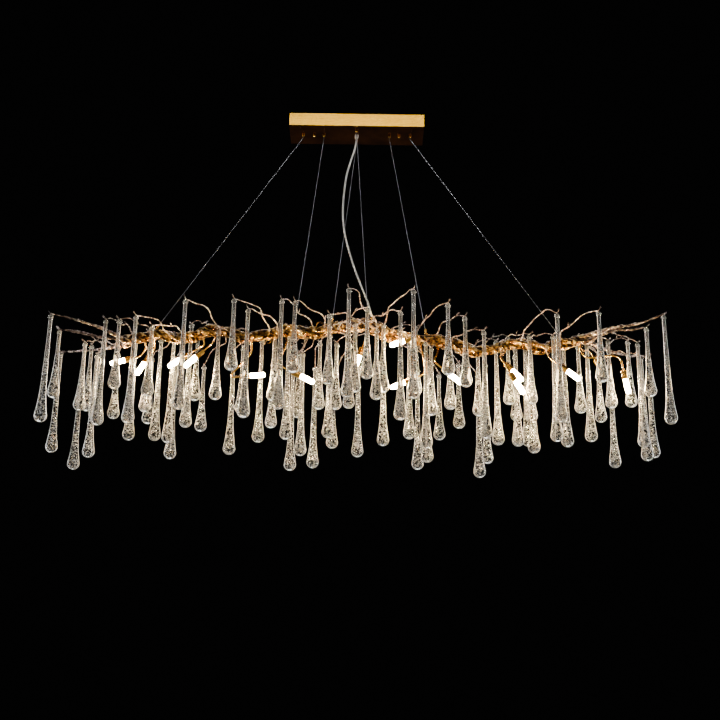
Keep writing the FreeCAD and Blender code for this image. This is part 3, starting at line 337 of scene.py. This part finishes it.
def lit_lamp_glass():
    """Frosted lamp glass, lit from inside: almost white, warmer in thin patches."""
    material, tree, place = new_material("frosted_lamp_glass_lit", Roughness=0.4,
                                         Base_Color=colour("#FFF4DF"), Emission_Strength=LAMP_POWER)
    patches = add(tree, "ShaderNodeTexNoise", {"Vector": place, "Scale": 1 / (20 * MM), "Detail": 3.0})
    glow = add(tree, "ShaderNodeValToRGB", {"Fac": patches}, stops=[(0.3, "#FFCE84"), (0.7, "#FFE1B0")])
    paint(tree, Emission_Color=glow)
    return material


# The wave texture's scale at which the wire's strands show 3.93 mm apart.
LAY_SCALE = 160.0


def steel_rope():
    """Stranded stainless wire: a fine twist of grey and bright."""
    material, tree, place = new_material("stranded_stainless_wire", Metallic=1.0, Roughness=0.32)
    twist = add(tree, "ShaderNodeTexWave", {
        "Vector": place, "Scale": LAY_SCALE, "Distortion": 1.5}, bands_direction="DIAGONAL")
    skin = add(tree, "ShaderNodeValToRGB", {"Fac": twist}, stops=[(0.2, "#4C4C50"), (0.8, "#A6A6AB")])
    bump = add(tree, "ShaderNodeBump", {
        "Height": twist.outputs["Fac"], "Distance": 0.15 * MM, "Strength": 1.0})
    paint(tree, Base_Color=skin, Normal=bump)
    return material


def zinc_plate():
    """Bright zinc plate on pressed steel: cool grey with a faint crystal mottle."""
    material, tree, place = new_material("zinc_plated_steel", Metallic=1.0)
    crystals = add(tree, "ShaderNodeTexVoronoi", {"Vector": place, "Scale": 1 / (4 * MM)})
    skin = add(tree, "ShaderNodeValToRGB", {"Fac": crystals.outputs["Distance"]}, stops=[
        (0.1, "#A4A8AC"), (0.8, "#C6CACC")])
    cloud = add(tree, "ShaderNodeTexNoise", {"Vector": place, "Scale": 1 / (10 * MM), "Detail": 3.0})
    rough = add(tree, "ShaderNodeMapRange", {"Value": cloud, **NOISE_SPAN, "To Min": 0.28, "To Max": 0.42})
    paint(tree, Base_Color=skin, Roughness=rough)
    return material


def bright_wire():
    """Nickel-plated spring wire: bright, with faint patches where it was drawn."""
    material, tree, place = new_material("nickel_plated_wire", Metallic=1.0)
    patches = add(tree, "ShaderNodeTexNoise", {"Vector": place, "Scale": 1 / (2 * MM), "Detail": 3.0})
    skin = add(tree, "ShaderNodeValToRGB", {"Fac": patches}, stops=[(0.3, "#B9B4AA"), (0.7, "#F2EEE6")])
    drawing = add(tree, "ShaderNodeTexNoise", {"Vector": place, "Scale": 1 / (3 * MM), "Detail": 3.0})
    rough = add(tree, "ShaderNodeMapRange", {"Value": drawing, **NOISE_SPAN, "To Min": 0.12, "To Max": 0.24})
    paint(tree, Base_Color=skin, Roughness=rough)
    return material


def moulded_nylon():
    """White moulded nylon: satin, slightly uneven."""
    material, tree, place = new_material("white_moulded_nylon", Roughness=0.45)
    cloud = add(tree, "ShaderNodeTexNoise", {"Vector": place, "Scale": 1 / (6 * MM), "Detail": 3.0})
    skin = add(tree, "ShaderNodeValToRGB", {"Fac": cloud}, stops=[(0.3, "#DDDCD6"), (0.7, "#F2F1EC")])
    texture = add(tree, "ShaderNodeTexNoise", {"Vector": place, "Scale": 1 / (1 * MM), "Detail": 3.0})
    bump = add(tree, "ShaderNodeBump", {"Height": texture, "Distance": 0.05 * MM, "Strength": 1.0})
    paint(tree, Base_Color=skin, Normal=bump)
    return material


# The wave texture's scale at which the braid's weave shows 6.98 mm apart.
BRAID_SCALE = 90.0


def clear_jacket():
    """Clear PVC over a tinned braid: milky white with a faint weave that shows through."""
    material, tree, place = new_material("clear_pvc_over_tinned_braid", Roughness=0.22, Coat_Weight=0.6)
    braid = add(tree, "ShaderNodeTexWave", {
        "Vector": place, "Scale": BRAID_SCALE, "Distortion": 2.0}, bands_direction="DIAGONAL")
    skin = add(tree, "ShaderNodeValToRGB", {"Fac": braid}, stops=[(0.2, "#B9B7B0"), (0.8, "#F7F6F2")])
    bump = add(tree, "ShaderNodeBump", {
        "Height": braid.outputs["Fac"], "Distance": 0.1 * MM, "Strength": 1.0})
    paint(tree, Base_Color=skin, Normal=bump)
    return material


glass, air = blown_glass(), trapped_air()
bark, twig_skin = gilt_bark(), gilt_twig()
gold_sheet, brass, lamp_glass = brushed_gold(), turned_brass(), lit_lamp_glass()
wire_steel, zinc, ring_wire = steel_rope(), zinc_plate(), bright_wire()
nylon, jacket = moulded_nylon(), clear_jacket()

FINISHES = {
    "canopy_cover": gold_sheet, "ceiling_bracket": zinc, "canopy_studs": zinc, "canopy_cap_nuts": brass,
    "wire_grippers": brass, "gripper_nuts": zinc, "terminal_block": nylon, "cord_gland": nylon,
    "wire_lugs": brass, "cord_ferrule": brass, "lamp_arms": brass, "lamp_sockets": brass,
    "lamp_tubes": lamp_glass, "drop_rings": ring_wire,
}
for name in nodes:
    if name.startswith("wire_") and name not in FINISHES:
        FINISHES[name] = wire_steel
for name, material in FINISHES.items():
    mesh = nodes[name].data
    mesh.materials.clear()
    mesh.materials.append(material)

# ---------------------------------------------------------------- power cord

CORD_DIAMETER = 5 * MM
CORD_ROUTE = (
    (0, 0, -53.4), (-3, 1, -82), (-16, 3, -124), (-28, 2, -172), (-34, -2, -226), (-37, -5, -280),
    (-36, -5, -330), (-29, -4, -378), (-17, -2, -424), (-3, 0, -470), (13, 2, -514),
    (29, 2, -555), (43, 1, -592), (51.8, 6.8, -625.4),
)


def make_cord():
    curve = bpy.data.curves.new("power_cord_jacket", "CURVE")
    curve.dimensions = "3D"
    curve.bevel_depth = CORD_DIAMETER / 2
    curve.bevel_resolution = 5
    curve.use_fill_caps = True
    spline = curve.splines.new("NURBS")
    spline.points.add(len(CORD_ROUTE) - 1)
    for point, place in zip(spline.points, CORD_ROUTE):
        point.co = (*(c * MM for c in place), 1.0)
    spline.order_u = 3
    spline.use_endpoint_u = True
    spline.resolution_u = 8
    curve.materials.append(jacket)
    cord = link_object("power_cord_jacket", curve)
    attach(cord, "canopy_and_branch")
    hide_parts("power_cord")


make_cord()

# ---------------------------------------------------------------- drop rings

# The share of the CAD rings' triangles that is kept: a ring is only 1.6 mm wire.
RING_SHARE = 0.3


def make_rings():
    """The CAD rings with their loose triangles joined, and thinned to under a third of them."""
    rings = link_object("ring_wires", nodes["drop_rings"].data.copy())
    weld = rings.modifiers.new("join", "WELD")
    weld.merge_threshold = 0.001 * MM
    thin = rings.modifiers.new("thin", "DECIMATE")
    thin.ratio = RING_SHARE
    rings = finished_mesh("ring_wires", rings)
    rings.data.shade_smooth()
    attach(rings, "canopy_and_branch")
    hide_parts("drop_rings")


make_rings()

# ---------------------------------------------------------------- glass drops

# A drop, in millimetres. The last two give its length, and how far down from its top the neck ends.
ROD_RADIUS = 4.75
ROD_END = 54
NECK_RADIUS = 8
BULB_RADIUS = 17.5
PIN_BELOW_TOP = 6
LONG_DROP = (305, 195)
SHORT_DROP = (200, 112)
# The rounded top edge, as (inwards, downwards), and the waist under the hole, as (share of radius, height).
TOP_EDGE = ((1.6, 0.0), (0.5, 0.5), (0.0, 1.6))
WAIST = ((1.0, -5.0), (0.86, -6.5), (1.0, -8.0))
HOLE_RADIUS, HOLE_REACH, HOLE_SIDES = 1.1, 8, 12
NECK_STEPS, FLARE_STEPS, BULB_STEPS = 8, 10, 15
GLASS_SIDES = 28


def drop_outline(length, neck, inset=0.0):
    """Half of a drop from its top to its bottom, as (radius, height) in millimetres.

    The origin is the middle of the hole that its ring goes through.
    """
    neck_end = PIN_BELOW_TOP - neck
    centre = PIN_BELOW_TOP - length + BULB_RADIUS
    slope = math.atan2(NECK_RADIUS - ROD_RADIUS, -ROD_END - neck_end)
    rise = neck_end - centre
    flare = (NECK_RADIUS ** 2 + rise ** 2 - BULB_RADIUS ** 2) / (
        2 * (BULB_RADIUS - NECK_RADIUS * math.cos(slope) - rise * math.sin(slope)))
    middle_r = NECK_RADIUS + flare * math.cos(slope)
    middle_z = neck_end + flare * math.sin(slope)
    meeting = math.atan2(middle_z - centre, middle_r)
    top = PIN_BELOW_TOP
    line = [(ROD_RADIUS - inwards, top - down) for inwards, down in TOP_EDGE]
    line += [(ROD_RADIUS * share, height) for share, height in WAIST]
    line.append((ROD_RADIUS, -ROD_END / 2))
    for i in range(NECK_STEPS + 1):
        share = i / NECK_STEPS
        radius = ROD_RADIUS + (NECK_RADIUS - ROD_RADIUS) * share
        line.append((radius, -ROD_END + (neck_end + ROD_END) * share))
    for i in range(1, FLARE_STEPS + 1):
        angle = math.pi + slope + (meeting - slope) * i / FLARE_STEPS
        line.append((middle_r + flare * math.cos(angle), middle_z + flare * math.sin(angle)))
    for i in range(1, BULB_STEPS):
        angle = meeting - (meeting + math.pi / 2) * i / BULB_STEPS
        line.append((BULB_RADIUS * math.cos(angle), centre + BULB_RADIUS * math.sin(angle)))
    ends = [(0, top)] + line + [(0, centre - BULB_RADIUS)]
    return [(max(r - inset, 0.0) if 0 < r else 0.0, z) for r, z in ends]


def turned(name, outline, sides):
    """A closed turned shape through (radius, height) points. The first and last lie on its axis."""
    points = [(0, 0, outline[0][1] * MM)]
    for radius, height in outline[1:-1]:
        for k in range(sides):
            angle = 2 * math.pi * k / sides
            points.append((radius * MM * math.cos(angle), radius * MM * math.sin(angle), height * MM))
    points.append((0, 0, outline[-1][1] * MM))
    rings = len(outline) - 2
    faces = []
    for k in range(sides):
        n = (k + 1) % sides
        faces.append((0, 1 + k, 1 + n))
        for i in range(rings - 1):
            upper, lower = 1 + i * sides, 1 + (i + 1) * sides
            faces.append((upper + k, lower + k, lower + n, upper + n))
        last = 1 + (rings - 1) * sides
        faces.append((last + n, last + k, len(points) - 1))
    return mesh_object(name, points, faces=faces)


# The froth of bubbles starts this share of the way down a drop, and is full after another share.
FROTH_START, FROTH_RISE = 0.29, 0.24
BUBBLES_PER_CUBIC_METRE = 7.5e6
BUBBLE_SIZES = (0.55 * MM, 1.5 * MM)
BUBBLE_STRETCH = 1.5
# The core that the bubbles fill: its start down the drop, the clear wall round it, and the clear floor.
CORE_START, CORE_WALL, CORE_FLOOR = 0.36, 1.6, 1.8
CORE_SIDES = 16
CORE_VOXEL = 0.8 * MM


def bubble_tree():
    """Small air beads, scattered inside a closed core of glass."""
    tree, inputs = new_tree(
        "bubbles_in_glass", Density=("Float", BUBBLES_PER_CUBIC_METRE), Seed=("Int", 1),
        Smallest=("Float", BUBBLE_SIZES[0]), Largest=("Float", BUBBLE_SIZES[1]))
    volume = add(tree, "GeometryNodeMeshToVolume", {
        "Mesh": inputs["Geometry"], "Density": 1.0, "Voxel Size": CORE_VOXEL,
        "Interior Band Width": 0.05}, resolution_mode="VOXEL_SIZE")
    points = add(tree, "GeometryNodeDistributePointsInVolume", {
        "Volume": volume, "Density": inputs["Density"], "Seed": inputs["Seed"]})
    size = add(tree, "FunctionNodeRandomValue", {
        "Min": inputs["Smallest"], "Max": inputs["Largest"], "Seed": inputs["Seed"]}, data_type="FLOAT")
    bead = add(tree, "GeometryNodeMeshIcoSphere", {"Radius": 1.0, "Subdivisions": 1})
    smooth = add(tree, "GeometryNodeSetShadeSmooth", {"Geometry": bead})
    height = add(tree, "ShaderNodeMath", {0: size, 1: BUBBLE_STRETCH}, operation="MULTIPLY")
    stretch = add(tree, "ShaderNodeCombineXYZ", {"X": size, "Y": size, "Z": height})
    beads = add(tree, "GeometryNodeInstanceOnPoints", {
        "Points": points, "Instance": smooth, "Scale": stretch})
    real = add(tree, "GeometryNodeRealizeInstances", {"Geometry": beads})
    finished = add(tree, "GeometryNodeSetMaterial", {"Geometry": real, "Material": air})
    add(tree, "NodeGroupOutput", {"Geometry": finished})
    return tree


def drop_glass(name, sizes):
    """The glass of a drop, with its cross hole for the ring."""
    body = turned(name, drop_outline(*sizes), GLASS_SIDES)
    cutter = turned("hole_cutter", [
        (0, HOLE_REACH), (HOLE_RADIUS, HOLE_REACH), (HOLE_RADIUS, -HOLE_REACH), (0, -HOLE_REACH)], HOLE_SIDES)
    cutter.data.transform(Matrix.Rotation(math.pi / 2, 4, "Y"))
    hole = body.modifiers.new("hole", "BOOLEAN")
    hole.object = cutter
    hole.solver = "EXACT"
    body = finished_mesh(name, body)
    bpy.data.objects.remove(cutter)
    depths = [(PIN_BELOW_TOP - v.co.z / MM) / sizes[0] for v in body.data.vertices]
    froth = body.data.attributes.new("froth", "FLOAT", "POINT")
    froth.data.foreach_set("value", [min(1.0, max(0.0, (d - FROTH_START) / FROTH_RISE)) for d in depths])
    return body


def drop_bubbles(name, sizes, tree, seed):
    """The bubbles of a drop: they start under the clear rod and fill the rest."""
    outline = drop_outline(*sizes, inset=CORE_WALL)
    start = PIN_BELOW_TOP - CORE_START * sizes[0]
    lowest = outline[-1][1] + CORE_FLOOR
    inside = [(r, max(z, lowest)) for r, z in outline if z < start and r > 0]
    core = turned("core", [(0, inside[0][1])] + inside + [(0, lowest - 0.01)], CORE_SIDES)
    return run_tree(name, core, tree, Seed=seed)


def row_tree():
    """A row of drops: glass and bubbles on each hook place, turned at random about the hook."""
    shapes = {f"{kind} {part}": ("Object", None) for kind in ("Long", "Short") for part in ("glass", "air")}
    tree, inputs = new_tree("row_of_drops", Seed=("Int", 1), **shapes)
    is_long = add(tree, "GeometryNodeInputNamedAttribute", {"Name": "is_long"}, data_type="BOOLEAN")
    is_short = add(tree, "FunctionNodeBooleanMath", {0: is_long}, operation="NOT")
    side = add(tree, "FunctionNodeRandomValue", {"Min": 0, "Max": 1, "Seed": inputs["Seed"]}, data_type="INT")
    angle = add(tree, "ShaderNodeMath", {0: side, 1: math.pi}, operation="MULTIPLY")
    half_turn = add(tree, "ShaderNodeCombineXYZ", {"Z": angle})
    rows = []
    for kind, chosen in (("Long", is_long), ("Short", is_short)):
        for part, material in (("glass", glass), ("air", air)):
            shape = add(tree, "GeometryNodeObjectInfo", {"Object": inputs[f"{kind} {part}"]})
            row = add(tree, "GeometryNodeInstanceOnPoints", {
                "Points": inputs["Geometry"], "Selection": chosen,
                "Instance": shape.outputs["Geometry"], "Rotation": half_turn})
            real = add(tree, "GeometryNodeRealizeInstances", {"Geometry": row})
            rows.append(add(tree, "GeometryNodeSetMaterial", {"Geometry": real, "Material": material}))
    joined = add(tree, "GeometryNodeJoinGeometry")
    for row in rows:
        tree.links.new(row.outputs[0], joined.inputs[0])
    smooth = add(tree, "GeometryNodeSetShadeSmooth", {"Geometry": joined})
    add(tree, "NodeGroupOutput", {"Geometry": smooth})
    return tree


HOOK_SPACING = 15 * MM
HALF_DROP = 12 * MM
LONGER_BY = 20
AIR_SEED = 11


def hooks_of(node, place):
    """Where the drops of a CAD row hang along X, and which of them are long ones."""
    points = np.array([v.co for v in nodes[node].data.vertices])
    tops = np.sort(points[points[:, 2] > place[2] + (PIN_BELOW_TOP - 1) * MM][:, 0])
    groups = np.split(tops, np.nonzero(np.diff(tops) > HOOK_SPACING)[0] + 1)
    found = []
    for group in groups:
        x = (group[0] + group[-1]) / 2
        near = points[np.abs(points[:, 0] - x) < HALF_DROP]
        found.append((x, bool(place[2] - near[:, 2].min() > (SHORT_DROP[0] + LONGER_BY) * MM)))
    return found


def make_drops():
    beads, tree = bubble_tree(), row_tree()
    shapes = []
    for kind, sizes in (("long", LONG_DROP), ("short", SHORT_DROP)):
        shapes.append(drop_glass(f"{kind}_drop_glass", sizes))
        shapes.append([drop_bubbles(f"{kind}_drop_air_{v}", sizes, beads, AIR_SEED + v) for v in range(3)])
    long_glass, long_air, short_glass, short_air = shapes
    for number, joint in enumerate(frame["joints"], start=1):
        body = joint["child"]
        node = f"drops_{number:02d}"
        place = joint["pos_m"]
        hooks = hooks_of(node, place)
        points = mesh_object(node + "_hooks", [(x, place[1], place[2]) for x, _ in hooks])
        kinds = points.data.attributes.new("is_long", "BOOLEAN", "POINT")
        kinds.data.foreach_set("value", [tall for _, tall in hooks])
        variant = number % len(long_air)
        row = run_tree(f"glass_drops_{number:02d}", points, tree, Seed=number, **{
            "Long glass": long_glass, "Long air": long_air[variant],
            "Short glass": short_glass, "Short air": short_air[variant]})
        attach(row, body)
        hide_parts(node)
    for shape in [long_glass, short_glass] + long_air + short_air:
        bpy.data.objects.remove(shape)


make_drops()

# ---------------------------------------------------------------- branch and twigs

# The sides of the CAD's faceted rods, and a reach that holds all the corners of a rod's last ring.
STRAND_SIDES = 8
TWIG_SIDES = 5
BUD_RING = 1.5 * MM
# Bark splits into fibres along the branch, so its lumps are drawn out along X.
BARK_STRETCH = (0.45, 1.0, 1.0)
# Two layers of lumps: (share of the lump size, the input that gives their height, their middle value).
BARK_LAYERS = ((1.0, "Knots", 0.47), (0.28, "Flakes", 0.5))


def neighbours_of(mesh):
    """Merged points of a CAD mesh, and the points that each one shares an edge with."""
    places, index, known = [], [], {}
    for vertex in mesh.vertices:
        key = tuple(round(c, 6) for c in vertex.co)
        if key not in known:
            known[key] = len(places)
            places.append(vertex.co.copy())
        index.append(known[key])
    beside = [set() for _ in places]
    for edge in mesh.edges:
        a, b = (index[v] for v in edge.vertices)
        if a != b:
            beside[a].add(b)
            beside[b].add(a)
    return places, beside


def middle_lines(node, sides):
    """The middle line and radii of each faceted rod in a CAD node, from its thin end inwards."""
    places, beside = neighbours_of(nodes[node].data)
    tree = KDTree(len(places))
    for i, place in enumerate(places):
        tree.insert(place, i)
    tree.balance()
    used, lines = set(), []
    for i, place in enumerate(places):
        ring = {n for _, n, _ in tree.find_range(place, BUD_RING)}
        if i in used or len(ring) != sides:
            continue
        line = []
        while ring:
            used |= ring
            centre = sum((places[n] for n in ring), Vector()) / len(ring)
            line.append((centre, max((places[n] - centre).length for n in ring)))
            ring = {m for n in ring for m in beside[n]} - used
        lines.append(line)
    return lines


def chain_object(name, lines):
    """Lines of (point, radius) as one mesh of edges, with the radius kept on each point."""
    points, edges, radii = [], [], []
    for line in lines:
        first = len(points)
        points += [tuple(p) for p, _ in line]
        radii += [r for _, r in line]
        edges += [(n, n + 1) for n in range(first, len(points) - 1)]
    chain = mesh_object(name, points, edges)
    chain.data.attributes.new("thickness", "FLOAT", "POINT").data.foreach_set("value", radii)
    return chain


def bark_tree():
    """A gnarled skin round lines: a smooth tube, raised by coarse knots and fine flakes."""
    tree, inputs = new_tree("bark_skin", Sides=("Int", 20), Step=("Float", 3 * MM), Knots=("Float", 2 * MM),
                            Flakes=("Float", 1 * MM), Lump=("Float", 14 * MM), Skin=("Material", None))
    curve = add(tree, "GeometryNodeMeshToCurve", {"Mesh": inputs["Geometry"]})
    kind = add(tree, "GeometryNodeCurveSplineType", {"Curve": curve}, spline_type="CATMULL_ROM")
    even = add(tree, "GeometryNodeResampleCurve", {"Curve": kind, "Length": inputs["Step"]}, mode="LENGTH")
    circle = add(tree, "GeometryNodeCurvePrimitiveCircle", {"Resolution": inputs["Sides"], "Radius": 1.0})
    thickness = add(tree, "GeometryNodeInputNamedAttribute", {"Name": "thickness"}, data_type="FLOAT")
    tube = add(tree, "GeometryNodeCurveToMesh", {
        "Curve": even, "Profile Curve": circle, "Scale": thickness, "Fill Caps": True})
    position = add(tree, "GeometryNodeInputPosition")
    place = add(tree, "ShaderNodeVectorMath", {0: position, 1: BARK_STRETCH}, operation="MULTIPLY")
    raised, lumps = [], []
    for share, height, middle in BARK_LAYERS:
        size = add(tree, "ShaderNodeMath", {0: inputs["Lump"], 1: share}, operation="MULTIPLY")
        scale = add(tree, "ShaderNodeMath", {0: 1.0, 1: size}, operation="DIVIDE")
        noise = add(tree, "ShaderNodeTexNoise", {"Vector": place, "Scale": scale, "Detail": 2.0})
        lumps.append(noise)
        centred = add(tree, "ShaderNodeMath", {0: noise, 1: middle}, operation="SUBTRACT")
        raised.append(add(tree, "ShaderNodeMath", {0: centred, 1: inputs[height]}, operation="MULTIPLY"))
    total = add(tree, "ShaderNodeMath", {0: raised[0], 1: raised[1]}, operation="ADD")
    doubled = add(tree, "ShaderNodeMath", {0: total, 1: 2.0}, operation="MULTIPLY")
    normal = add(tree, "GeometryNodeInputNormal")
    outwards = add(tree, "ShaderNodeVectorMath", {0: normal, "Scale": doubled}, operation="SCALE")
    # The lump height, kept as ridge: the bark's material paints shade in the hollows and a highlight on the
    # ridges from it.
    ridge = add(tree, "ShaderNodeMix", {"Factor": 0.5, "A": lumps[0], "B": lumps[1]})
    marked = add(tree, "GeometryNodeStoreNamedAttribute", {
        "Geometry": tube, "Name": "ridge", "Value": ridge}, data_type="FLOAT", domain="POINT")
    gnarled = add(tree, "GeometryNodeSetPosition", {"Geometry": marked, "Offset": outwards})
    smooth = add(tree, "GeometryNodeSetShadeSmooth", {"Geometry": gnarled})
    real = add(tree, "GeometryNodeRealizeInstances", {"Geometry": smooth})
    finished = add(tree, "GeometryNodeSetMaterial", {"Geometry": real, "Material": inputs["Skin"]})
    add(tree, "NodeGroupOutput", {"Geometry": finished})
    return tree


# A twig's root goes this deep into its strand, and its first radii are these shares of the CAD's.
ROOT_DEPTH = 4 * MM
ROOT_FLARE = (1.5, 1.15, 0.9)
TWIG_SHARE = 0.78
KINK = 3.4 * MM
STRAIGHT_ENDS = 3
TIP_REACH = 13 * MM
TIP_RISE = 0.55
TIP_SAG = 0.8 * MM
SPUR_COUNTS = (1, 1, 2)
SPUR_REACH = (9, 17)


def rooted(line):
    """A twig from its root outwards, sunk a little into the strand and flared where it leaves it."""
    line = line[::-1]
    inwards = (line[0][0] - line[1][0]).normalized()
    line = [(line[0][0] + inwards * ROOT_DEPTH, line[0][1])] + line
    flare = ROOT_FLARE + (TWIG_SHARE,) * (len(line) - len(ROOT_FLARE))
    return [(p, r * f) for (p, r), f in zip(line, flare)]


def kinked(line, dice):
    """A twig with its middle stretch put a little out of line at each point, as twigs grow."""
    last = len(line) - 1
    bends = range(STRAIGHT_ENDS, last + 1 - STRAIGHT_ENDS)
    lean = {i: dice.uniform(-KINK, KINK) for i in bends}
    sway = {i: dice.uniform(-KINK, KINK) for i in bends}
    kinks = []
    for i, (place, radius) in enumerate(line):
        along = (line[min(i + 1, last)][0] - line[max(i - 1, 0)][0]).normalized()
        side = along.cross(Vector((0, 1, 0))).normalized()
        kinks.append((place + side * lean.get(i, 0.0) + Vector((0, sway.get(i, 0.0), 0)), radius))
    return kinks


def tip_shoot(line):
    """A thin shoot that runs on past the ring at the end of a twig."""
    start, thick = line[-2]
    run = start - line[-4][0]
    run.z = 0
    out = (run.normalized() + Vector((0, 0, TIP_RISE))).normalized()
    end = start + out * TIP_REACH
    if not cad_low.x < end.x < cad_high.x or not cad_low.y < end.y < cad_high.y:
        return []
    middle = start + out * TIP_REACH * 0.5 - Vector((0, 0, TIP_SAG))
    return [[(start, thick * 0.9), (middle, thick * 0.75), (end, thick * 0.45)]]


def spurs_of(line, dice):
    """One or two short side shoots on a twig, each ending in a thin point."""
    spurs = []
    for _ in range(dice.choice(SPUR_COUNTS)):
        at = dice.randint(4, len(line) - 4)
        start, thick = line[at]
        along = (line[at + 1][0] - line[at - 1][0]).normalized()
        side = along.cross(Vector((0, 0, 1))).normalized() * dice.choice((-1, 1))
        out = (along * dice.uniform(0.3, 0.9) + side * dice.uniform(0.2, 0.7)
               + Vector((0, 0, dice.uniform(0.3, 0.9)))).normalized()
        reach = dice.uniform(*SPUR_REACH) * MM
        bend = Vector((0, 0, 0.22 * reach))
        spurs.append([(start, thick * 0.8), (start + out * reach * 0.5 + bend, thick * 0.6),
                      (start + out * reach, thick * 0.3)])
    return spurs


# Thin shoots wind round the strands. Their places, lengths and leads along X are in millimetres.
VINE_COUNT = 11
VINE_REACH = (-600, 615)
VINE_STEP = 8
VINE_LENGTHS = (180, 420)
VINE_LEADS = (110, 240)
VINE_RADII = (1.6 * MM, 3.0 * MM)
VINE_SWAY = 0.35
LOOSE_STEPS = 3
LOOSE_THINNING = 0.65
TENDRIL = 11 * MM


def at_x(line, x):
    """The point and radius of a strand where it passes a place along X."""
    for (p, r), (q, n) in zip(line, line[1:]):
        if min(p.x, q.x) <= x <= max(p.x, q.x) and p.x != q.x:
            share = (x - p.x) / (q.x - p.x)
            return p.lerp(q, share), r + (n - r) * share
    return line[0]


def bark_height(strands, x, angle):
    """The middle of the bundle at x, the direction at an angle round it, and how far out its skin is."""
    cuts = [at_x(line, x) for line in strands]
    middle = sum((p for p, _ in cuts), Vector()) / len(cuts)
    out = Vector((0, math.cos(angle), math.sin(angle)))
    heights = []
    for point, radius in cuts:
        away = point - middle
        along = away.dot(out)
        aside = (away - out * along).length
        heights.append(along + math.sqrt(max(radius ** 2 - aside ** 2, 0.0)))
    return middle, out, max(heights)


def vines_round(strands, dice):
    """Thin shoots that wind round the strands, each over a stretch of its own, with loose ends."""
    vines = []
    for _ in range(VINE_COUNT):
        length = dice.uniform(*VINE_LENGTHS)
        start = dice.uniform(VINE_REACH[0], VINE_REACH[1] - length)
        angle, lead = dice.uniform(0, 2 * math.pi), dice.uniform(*VINE_LEADS) * dice.choice((-1, 1))
        thick = dice.uniform(*VINE_RADII)
        count = int(length / VINE_STEP)
        line = []
        for i in range(count + 1):
            turn = angle + 2 * math.pi * i * VINE_STEP / lead + VINE_SWAY * math.sin(i * 0.9 + angle)
            middle, out, height = bark_height(strands, (start + i * VINE_STEP) * MM, turn)
            loose = max(0.0, 1 - min(i, count - i) / LOOSE_STEPS)
            radius = thick * (1 - LOOSE_THINNING * loose)
            line.append((middle + out * (height + 0.5 * radius + TENDRIL * loose ** 2), radius))
        vines.append(line)
    return vines


# The small curl that stands on the branch left of its middle, in the plane of the photograph.
CURL_PLACE = Vector((-95, -20, -664)) * MM
CURL_RADIUS = 9.5 * MM
CURL_THICKNESS = 1.7 * MM
CURL_POINTS = 15
CURL_START, CURL_TURN = -110, 30


def curl_line():
    line = []
    for i in range(CURL_POINTS):
        turn = math.radians(CURL_START + CURL_TURN * i)
        reach = CURL_RADIUS * (1.15 - 0.02 * i)
        place = CURL_PLACE + Vector((reach * math.cos(turn), 0.5 * MM * i, reach * math.sin(turn)))
        line.append((place, CURL_THICKNESS * (1.15 - 0.03 * i)))
    return line


VINE_SEED, TWIG_SEED = 3, 7
BRANCH_BARK = {"Sides": 24, "Step": 2.6 * MM, "Knots": 4.6 * MM, "Flakes": 3.2 * MM, "Lump": 12 * MM}
TWIG_BARK = {"Sides": 9, "Step": 2.5 * MM, "Knots": 0.9 * MM, "Flakes": 0.5 * MM, "Lump": 9 * MM}


def make_branch():
    tree = bark_tree()
    strands = [middle_lines(f"branch_strand_{letter}", STRAND_SIDES)[0] for letter in "abc"]
    shoots = vines_round(strands, random.Random(VINE_SEED)) + [curl_line()]
    lines = chain_object("strand_lines", strands + shoots)
    branch = run_tree("gilt_branch", lines, tree, Skin=bark, **BRANCH_BARK)
    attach(branch, "canopy_and_branch")
    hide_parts("branch_strand_a", "branch_strand_b", "branch_strand_c")
    dice = random.Random(TWIG_SEED)
    for side in ("left", "middle", "right"):
        lines = [kinked(rooted(line), dice) for line in middle_lines(f"twigs_{side}", TWIG_SIDES)]
        lines += [spur for line in list(lines) for spur in spurs_of(line, dice) + tip_shoot(line)]
        lines = chain_object("twig_lines", lines)
        twigs = run_tree(f"gilt_twigs_{side}", lines, tree, Skin=twig_skin, **TWIG_BARK)
        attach(twigs, "canopy_and_branch")
        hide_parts(f"twigs_{side}")


make_branch()

# ---------------------------------------------------------------- floor and light

# In metres: how far below the part the floor lies, and half of its width.
FLOOR_DROP = 1.3
FLOOR_HALF = 30


def make_stage():
    """A plain pale floor well below, and a dark room."""
    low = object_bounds()[0]
    corners = ((-1, -1), (1, -1), (1, 1), (-1, 1))
    points = [(x * FLOOR_HALF, y * FLOOR_HALF, low.z - FLOOR_DROP) for x, y in corners]
    floor = mesh_object("floor", points, faces=[(0, 1, 2, 3)])
    material, _, _ = new_material("pale_floor", Roughness=0.7, Base_Color=colour("#C9C7C3"))
    floor.data.materials.append(material)
    world = bpy.data.worlds.new("dark_room")
    world.use_nodes = True
    world.node_tree.nodes["Background"].inputs["Color"].default_value = colour("#050505")
    bpy.context.scene.world = world


PANELS = (
    # name, place, aim, width, height, power, spread in degrees
    ("left_strip", (-2.4, 0.7, -0.6), (0, 0, -0.75), 0.22, 2.4, 20, 110),
    ("right_strip", (2.4, 0.7, -0.6), (0, 0, -0.75), 0.22, 2.4, 20, 110),
    ("back_panel", (0, 1.6, 1.8), (0, 0, -0.75), 3.0, 0.5, 40, 180),
    ("front_panel", (0, -3.0, 0.8), (0, 0, -0.6), 2.4, 0.8, 18, 180),
    ("canopy_panel", (0, -2.4, 0.9), (0, 0, -0.03), 1.2, 0.5, 1.0, 30),
)


def make_lights():
    for name, place, aim, width, height, power, spread_angle in PANELS:
        data = bpy.data.lights.new(name, "AREA")
        data.shape = "RECTANGLE"
        data.size = width
        data.size_y = height
        data.energy = power
        data.spread = math.radians(spread_angle)
        light = link_object(name, data)
        light.location = place
        light.rotation_mode = "QUATERNION"
        light.rotation_quaternion = (Vector(aim) - Vector(place)).to_track_quat("-Z", "Y")


make_stage()
make_lights()
